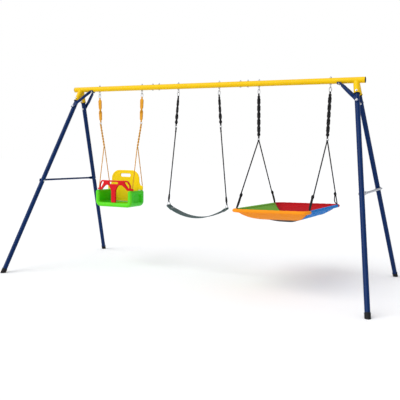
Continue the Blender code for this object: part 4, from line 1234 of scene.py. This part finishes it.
def plate(name, outlines, thickness, edge, centre_y, bend, spacing):
    """A plate in X and Z with holes. bend(x) gives how far back each place goes."""
    curve = bpy.data.curves.new(name, "CURVE")
    curve.dimensions = "2D"
    curve.fill_mode = "BOTH"
    curve.extrude = thickness / 2 - edge
    curve.bevel_depth = edge
    curve.bevel_resolution = 3
    curve.offset = -edge
    for outline in outlines:
        spline = curve.splines.new("POLY")
        spline.points.add(len(outline) - 1)
        for spot, (x, z) in zip(spline.points, outline):
            spot.co = (x, z, 0.0, 1.0)
        spline.use_cyclic_u = True
    drawn = bpy.data.objects.new(name, curve)
    bpy.context.scene.collection.objects.link(drawn)
    mesh = bpy.data.meshes.new_from_object(drawn.evaluated_get(bpy.context.evaluated_depsgraph_get()))
    bpy.data.objects.remove(drawn)
    shape = bmesh.new()
    shape.from_mesh(mesh)
    bmesh.ops.remove_doubles(shape, verts=shape.verts, dist=WELD_DISTANCE)
    reach = max(abs(vertex.co.x) for vertex in shape.verts)
    cut = -spacing * int(reach / spacing)
    while cut < reach:
        everything = shape.verts[:] + shape.edges[:] + shape.faces[:]
        bmesh.ops.bisect_plane(shape, geom=everything, plane_co=(cut + 0.0001, 0, 0), plane_no=(1, 0, 0))
        cut += spacing
    for vertex in shape.verts:
        x, z, y = vertex.co
        vertex.co = (TODDLER_X + x, centre_y + y + bend(x), z)
    bmesh.ops.recalc_face_normals(shape, faces=shape.faces)
    shape.to_mesh(mesh)
    shape.free()
    mesh.shade_smooth()
    mesh.set_sharp_from_angle(angle=math.radians(FIRM))
    return mesh


def mirrored(right):
    """A whole outline from its right half, which starts and ends near the middle."""
    return right + [(-x, z, r) for x, z, r in right[::-1]]


def outline_of(corners, steps=5):
    return [tuple(point) for point in rounded_outline(corners, [1] * len(corners), steps)]


def moulded(name, mesh, material, body):
    mesh.materials.clear()
    mesh.materials.append(material)
    piece = bpy.data.objects.new(name, mesh)
    bpy.context.scene.collection.objects.link(piece)
    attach(piece, body)
    return piece


# %% [markdown]
# The backrest stands behind the seat and rises to a round top with a handle slot. Low lugs at
# its sides take the back ropes. Two raised beads, one inside its edge and one round the slot,
# are swept over its front face, as moulded plates of this kind often have them.

# %% Backrest
BACK_Y = 0.089
BACK_THICKNESS = 0.014
BACK_EDGE = 0.005  # the radius that rounds its edges
BACK_BOW = 0.010  # how far its sides sit ahead of its middle


def back_bend(x):
    return -BACK_BOW * (x / SEAT_HALF_WIDTH) ** 2 + BACK_BOW * 0.5


BEAD_R = 0.0024
BEAD_OFF = 0.0065  # from the plate's middle to the beads on its front
back_outline = mirrored([  # x, z and corner radius
    (0.151, 0.6550, 0.010), (0.151, 0.7758, 0.0015), (0.207, 0.7758, 0.004), (0.207, 0.819, 0.012),
    (0.178, 0.823, 0.008), (0.163, 0.856, 0.030), (0.161, 0.972, 0.088),
])
handle = mirrored([(0.059, 0.905, 0.0150), (0.059, 0.937, 0.0150)])
back_mesh = plate("toddler_back", [outline_of(back_outline, 8), outline_of(handle, 6)],
                  BACK_THICKNESS, BACK_EDGE, BACK_Y, back_bend, PLATE_STEP)
back = moulded("toddler_back", back_mesh, yellow_plastic, "toddler_seat")
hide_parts("toddler_backrest")
bead_outline = mirrored([(0.139, 0.690, 0.010), (0.148, 0.961, 0.078)])
handle_bead = mirrored([(0.066, 0.898, 0.022), (0.066, 0.944, 0.022)])
beads = Skin()
for line in (rounded_outline(bead_outline, (20, 14, 20, 14), 10),
             rounded_outline(handle_bead, (1, 8, 1, 8), 8)):
    path = [Vector((TODDLER_X + x, BACK_Y - BEAD_OFF + back_bend(x), z)) for x, z in line]
    beads.add(sweep(path, round_section(BEAD_R, 8), Vector((0, 1, 0)), closed=True), closed_run=True)
beads.piece("toddler_back_beads", yellow_plastic, "toddler_seat", "yellow_plastic")
print("backrest:", len(back_mesh.vertices), "points")

# %% [markdown]
# The guard is a T: a stem between the child's legs and two arms that curve back to the front
# ropes. Its outline is drawn once for the right half, with a slot in the middle of its top and
# a hole in each arm.

# %% Guard
GUARD_Y = -0.126
GUARD_THICKNESS = 0.020
GUARD_EDGE = 0.006
GUARD_BEND = 0.031  # how far its ends sit behind its middle
GUARD_TOP_Z = 0.874


def guard_bend(x):
    return GUARD_BEND * (x / TODDLER_ROPES) ** 2


guard_outline = mirrored([
    (0.026, 0.6560, 0.010), (0.027, 0.782, 0.080), (0.056, 0.826, 0.024), (0.092, 0.828, 0.024),
    (0.126, 0.800, 0.030), (0.148, 0.7762, 0.008), (0.206, 0.7762, 0.007), (0.206, 0.7920, 0.007),
    (0.180, 0.800, 0.010), (0.182, 0.822, 0.030), (0.157, GUARD_TOP_Z, 0.034),
])
centre_slot = mirrored([(0.052, 0.838, 0.009), (0.052, 0.859, 0.009)])
end_hole = [(0.118, 0.857, 0.004), (0.147, 0.859, 0.012), (0.168, 0.826, 0.010), (0.168, 0.798, 0.004),
            (0.156, 0.800, 0.004)]
other_hole = [(-x, z, r) for x, z, r in end_hole[::-1]]
guard_lines = [outline_of(corners) for corners in (guard_outline, centre_slot, end_hole, other_hole)]
guard_mesh = plate("toddler_bar", guard_lines, GUARD_THICKNESS, GUARD_EDGE, GUARD_Y, guard_bend, PLATE_STEP)
guard = moulded("toddler_bar", guard_mesh, red_plastic, "toddler_guard")
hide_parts("toddler_guard")
print("guard:", len(guard_mesh.vertices), "points")

# %% [markdown]
# ## Hardware
# Bolts, washers, nuts, weld beads and collars are small, but they are what makes a frame look
# bolted together instead of drawn. Nearly all are turned profiles: a hexagon is only a turned
# shape with six sides. They are gathered into a few pieces by finish.

# %% Bolts and nuts
BEAM_Z = 1.775
BEAM_R = 0.025
LEG_R = 0.021
SOCKET_R = 0.025
APEX_X = 1.385
FOOT = (1.691, 0.815)
FLAT_THICKNESS = 0.0063  # of a bar's flattened end, with the gap below it
BRACE_UNDER = 0.8
BRACE_TOP_X = 1.245
JOINT_BOLTS_X = (-0.549, -0.480, 0.356, 0.428)
SOCKET_BOLT = 0.112  # down a leg from the beam's axis
BRACE_BOLT = 0.200
SOCKET_END = 0.132
CROSSBAR_Z = 0.863
FOOT_CAP_TOP_Z = 0.036
WASHER = ((0, 0.0), (0, 0.0095), (0.0016, 0.0095), (0.0016, 0.0))
HEX = ((0.0016, 0.0), (0.0016, 0.0066), (0.0066, 0.0072), (0.0074, 0.0060), (0.0074, 0.0))
DOME = ((0.0016, 0.0), (0.0016, 0.0085), (0.0030, 0.0080),
        (0.0050, 0.0058), (0.0060, 0.0030), (0.0062, 0.0))
EYE_NUT = ((0.0004, 0.0), (0.0004, 0.0086), (0.0080, 0.0086), (0.0086, 0.0070), (0.0086, 0.0))
EYE_COLLAR = ((0, 0.0), (0, 0.0100), (0.0048, 0.0100), (0.0048, 0.0))
EYE_COLLAR_DROP = 0.0050  # below the beam
TIP = ((0.0074, 0.0), (0.0074, 0.0038), (0.0128, 0.0038), (0.0134, 0.0030), (0.0134, 0.0))


def leg_axis(side, end):
    return Vector((side * (FOOT[0] - APEX_X), end * FOOT[1], -BEAM_Z)).normalized()


def leg_point(side, end, distance):
    return Vector((side * APEX_X, 0, BEAM_Z)) + leg_axis(side, end) * distance


def square_to(axis, hint):
    return (hint - axis * hint.dot(axis)).normalized()


bolts = Skin()


def nut_at(place, axis):
    """A washer, a hexagon nut and the end of its bolt."""
    bolts.add(turned(place, axis, WASHER))
    bolts.add(turned(place, axis, HEX, 6))
    bolts.add(turned(place, axis, TIP, 10))


def head_at(place, axis):
    """A washer and a domed bolt head."""
    bolts.add(turned(place, axis, WASHER))
    bolts.add(turned(place, axis, DOME, 20))


down, up = Vector((0, 0, -1)), Vector((0, 0, 1))
for x in JOINT_BOLTS_X:
    head_at((x, 0, BEAM_Z - BEAM_R), down)
    nut_at((x, 0, BEAM_Z + BEAM_R), up)
for side in (-1, 1):
    for end in (-1, 1):
        axis = leg_axis(side, end)
        outboard = square_to(axis, Vector((side, 0, 0)))
        across = axis.cross(outboard) * (side * end)
        socket_bolt = leg_point(side, end, SOCKET_BOLT)
        head_at(socket_bolt + across * SOCKET_R, across)
        nut_at(socket_bolt - across * SOCKET_R, -across)
        brace_bolt = leg_point(side, end, BRACE_BOLT)
        face = square_to(axis, Vector((0, end, 0)))
        head_at(brace_bolt + face * (LEG_R + FLAT_THICKNESS), face)
        nut_at(brace_bolt - face * LEG_R, -face)
        spot = leg_point(side, end, (BEAM_Z - CROSSBAR_Z) / -leg_axis(1, 1).z)
        nut_at(spot + outboard * (LEG_R + FLAT_THICKNESS), outboard)
        head_at(spot - outboard * LEG_R, -outboard)
        under = Vector((0, end * BRACE_UNDER, -1)).normalized()
        nut_at(Vector((side * BRACE_TOP_X, 0, BEAM_Z)) + under * (BEAM_R + FLAT_THICKNESS), under)
for number in range(1, 7):
    low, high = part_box(f"eye_bolt_{number}")
    x = (low.x + high.x) / 2
    bolts.add(turned((x, 0, BEAM_Z + BEAM_R), up, WASHER))
    bolts.add(turned((x, 0, BEAM_Z + BEAM_R), up, EYE_NUT, 6))
    bolts.add(turned((x, 0, BEAM_Z - BEAM_R - EYE_COLLAR_DROP), up, EYE_COLLAR))
bolts.piece("bolts_and_nuts", zinc_steel, "stand", "zinc_steel", CRISP)
print("bolts and nuts:", len(bolts.verts), "points")

# %% [markdown]
# A black ring sits at each socket's mouth, and each foot cap has a raised rim. The sockets are
# welded to the beam, and the weld's bead runs where the two tubes meet. That line is found by
# going down the socket from each point of its circle until it is a beam's radius away.

# %% Socket rings, cap rims and welds
# COLLAR is the profile of the black ring at a socket's mouth.
COLLAR = ((-0.004, 0.0), (-0.004, 0.0262), (-0.003, 0.0270),
          (0.003, 0.0270), (0.0045, 0.0255), (0.0045, 0.0))
CAP_RIM = ((-0.002, 0.0), (-0.002, 0.0240), (-0.001, 0.0247),
           (0.003, 0.0247), (0.005, 0.0236), (0.005, 0.0))
WELD_R = 0.0022
dark = Skin()
welds = Skin()
for side in (-1, 1):
    for end in (-1, 1):
        axis = leg_axis(side, end)
        dark.add(turned(leg_point(side, end, SOCKET_END), axis, COLLAR, 32))
        rim_place = leg_point(side, end, (BEAM_Z - FOOT_CAP_TOP_Z) / -leg_axis(1, 1).z)
        dark.add(turned(rim_place, axis, CAP_RIM, 32))
        first = square_to(axis, Vector((1, 0, 0)))
        second = axis.cross(first)
        bead = []
        for k in range(48):
            turn = 2 * math.pi * k / 48
            rim = (first * math.cos(turn) + second * math.sin(turn)) * SOCKET_R
            a = axis.y ** 2 + axis.z ** 2
            b = 2 * (axis.y * rim.y + axis.z * rim.z)
            c = rim.y ** 2 + rim.z ** 2 - (BEAM_R + 0.0005) ** 2
            reach = (-b + math.sqrt(max(0.0, b * b - 4 * a * c))) / (2 * a)
            wobble = 1 + 0.02 * noise.noise(Vector((k * 0.9, side, end)))
            bead.append(Vector((side * APEX_X, 0, BEAM_Z)) + axis * reach + rim * wobble)
        rings = sweep(bead, round_section(WELD_R, 8), Vector((1, 0, 0)), closed=True)
        welds.add(rings, closed_run=True)
dark.piece("socket_rings_and_cap_rims", black_plastic, "stand", "black_plastic")
welds.piece("socket_welds", yellow_paint, "stand", "yellow_paint", SOFT)
print("collars and rims:", len(dark.verts), "points; welds:", len(welds.verts), "points")

# %% [markdown]
# The links are taken to be quick links: each has a hexagonal barrel on one side that screws
# shut.

# %% Link barrels
BARREL = ((-0.0065, 0.0), (-0.0065, 0.0040), (-0.0058, 0.0050),
          (0.0058, 0.0050), (0.0065, 0.0040), (0.0065, 0.0))
LINK_HALF_WIDTHS = {"top": 0.010, "low": 0.008}
for swing in ("toddler", "belt", "platform"):
    barrels = Skin()
    for hand, side in (("left", -1), ("right", 1)):
        for level, half in LINK_HALF_WIDTHS.items():
            high, low = link_bars(swing, hand, level)
            barrels.add(turned((high + low) / 2 + Vector((side * half, 0, 0)), up, BARREL, 6))
    barrels.piece(f"{swing}_link_barrels", zinc_steel, f"{swing}_swing", "zinc_steel", CRISP)
print("link barrels: 12")
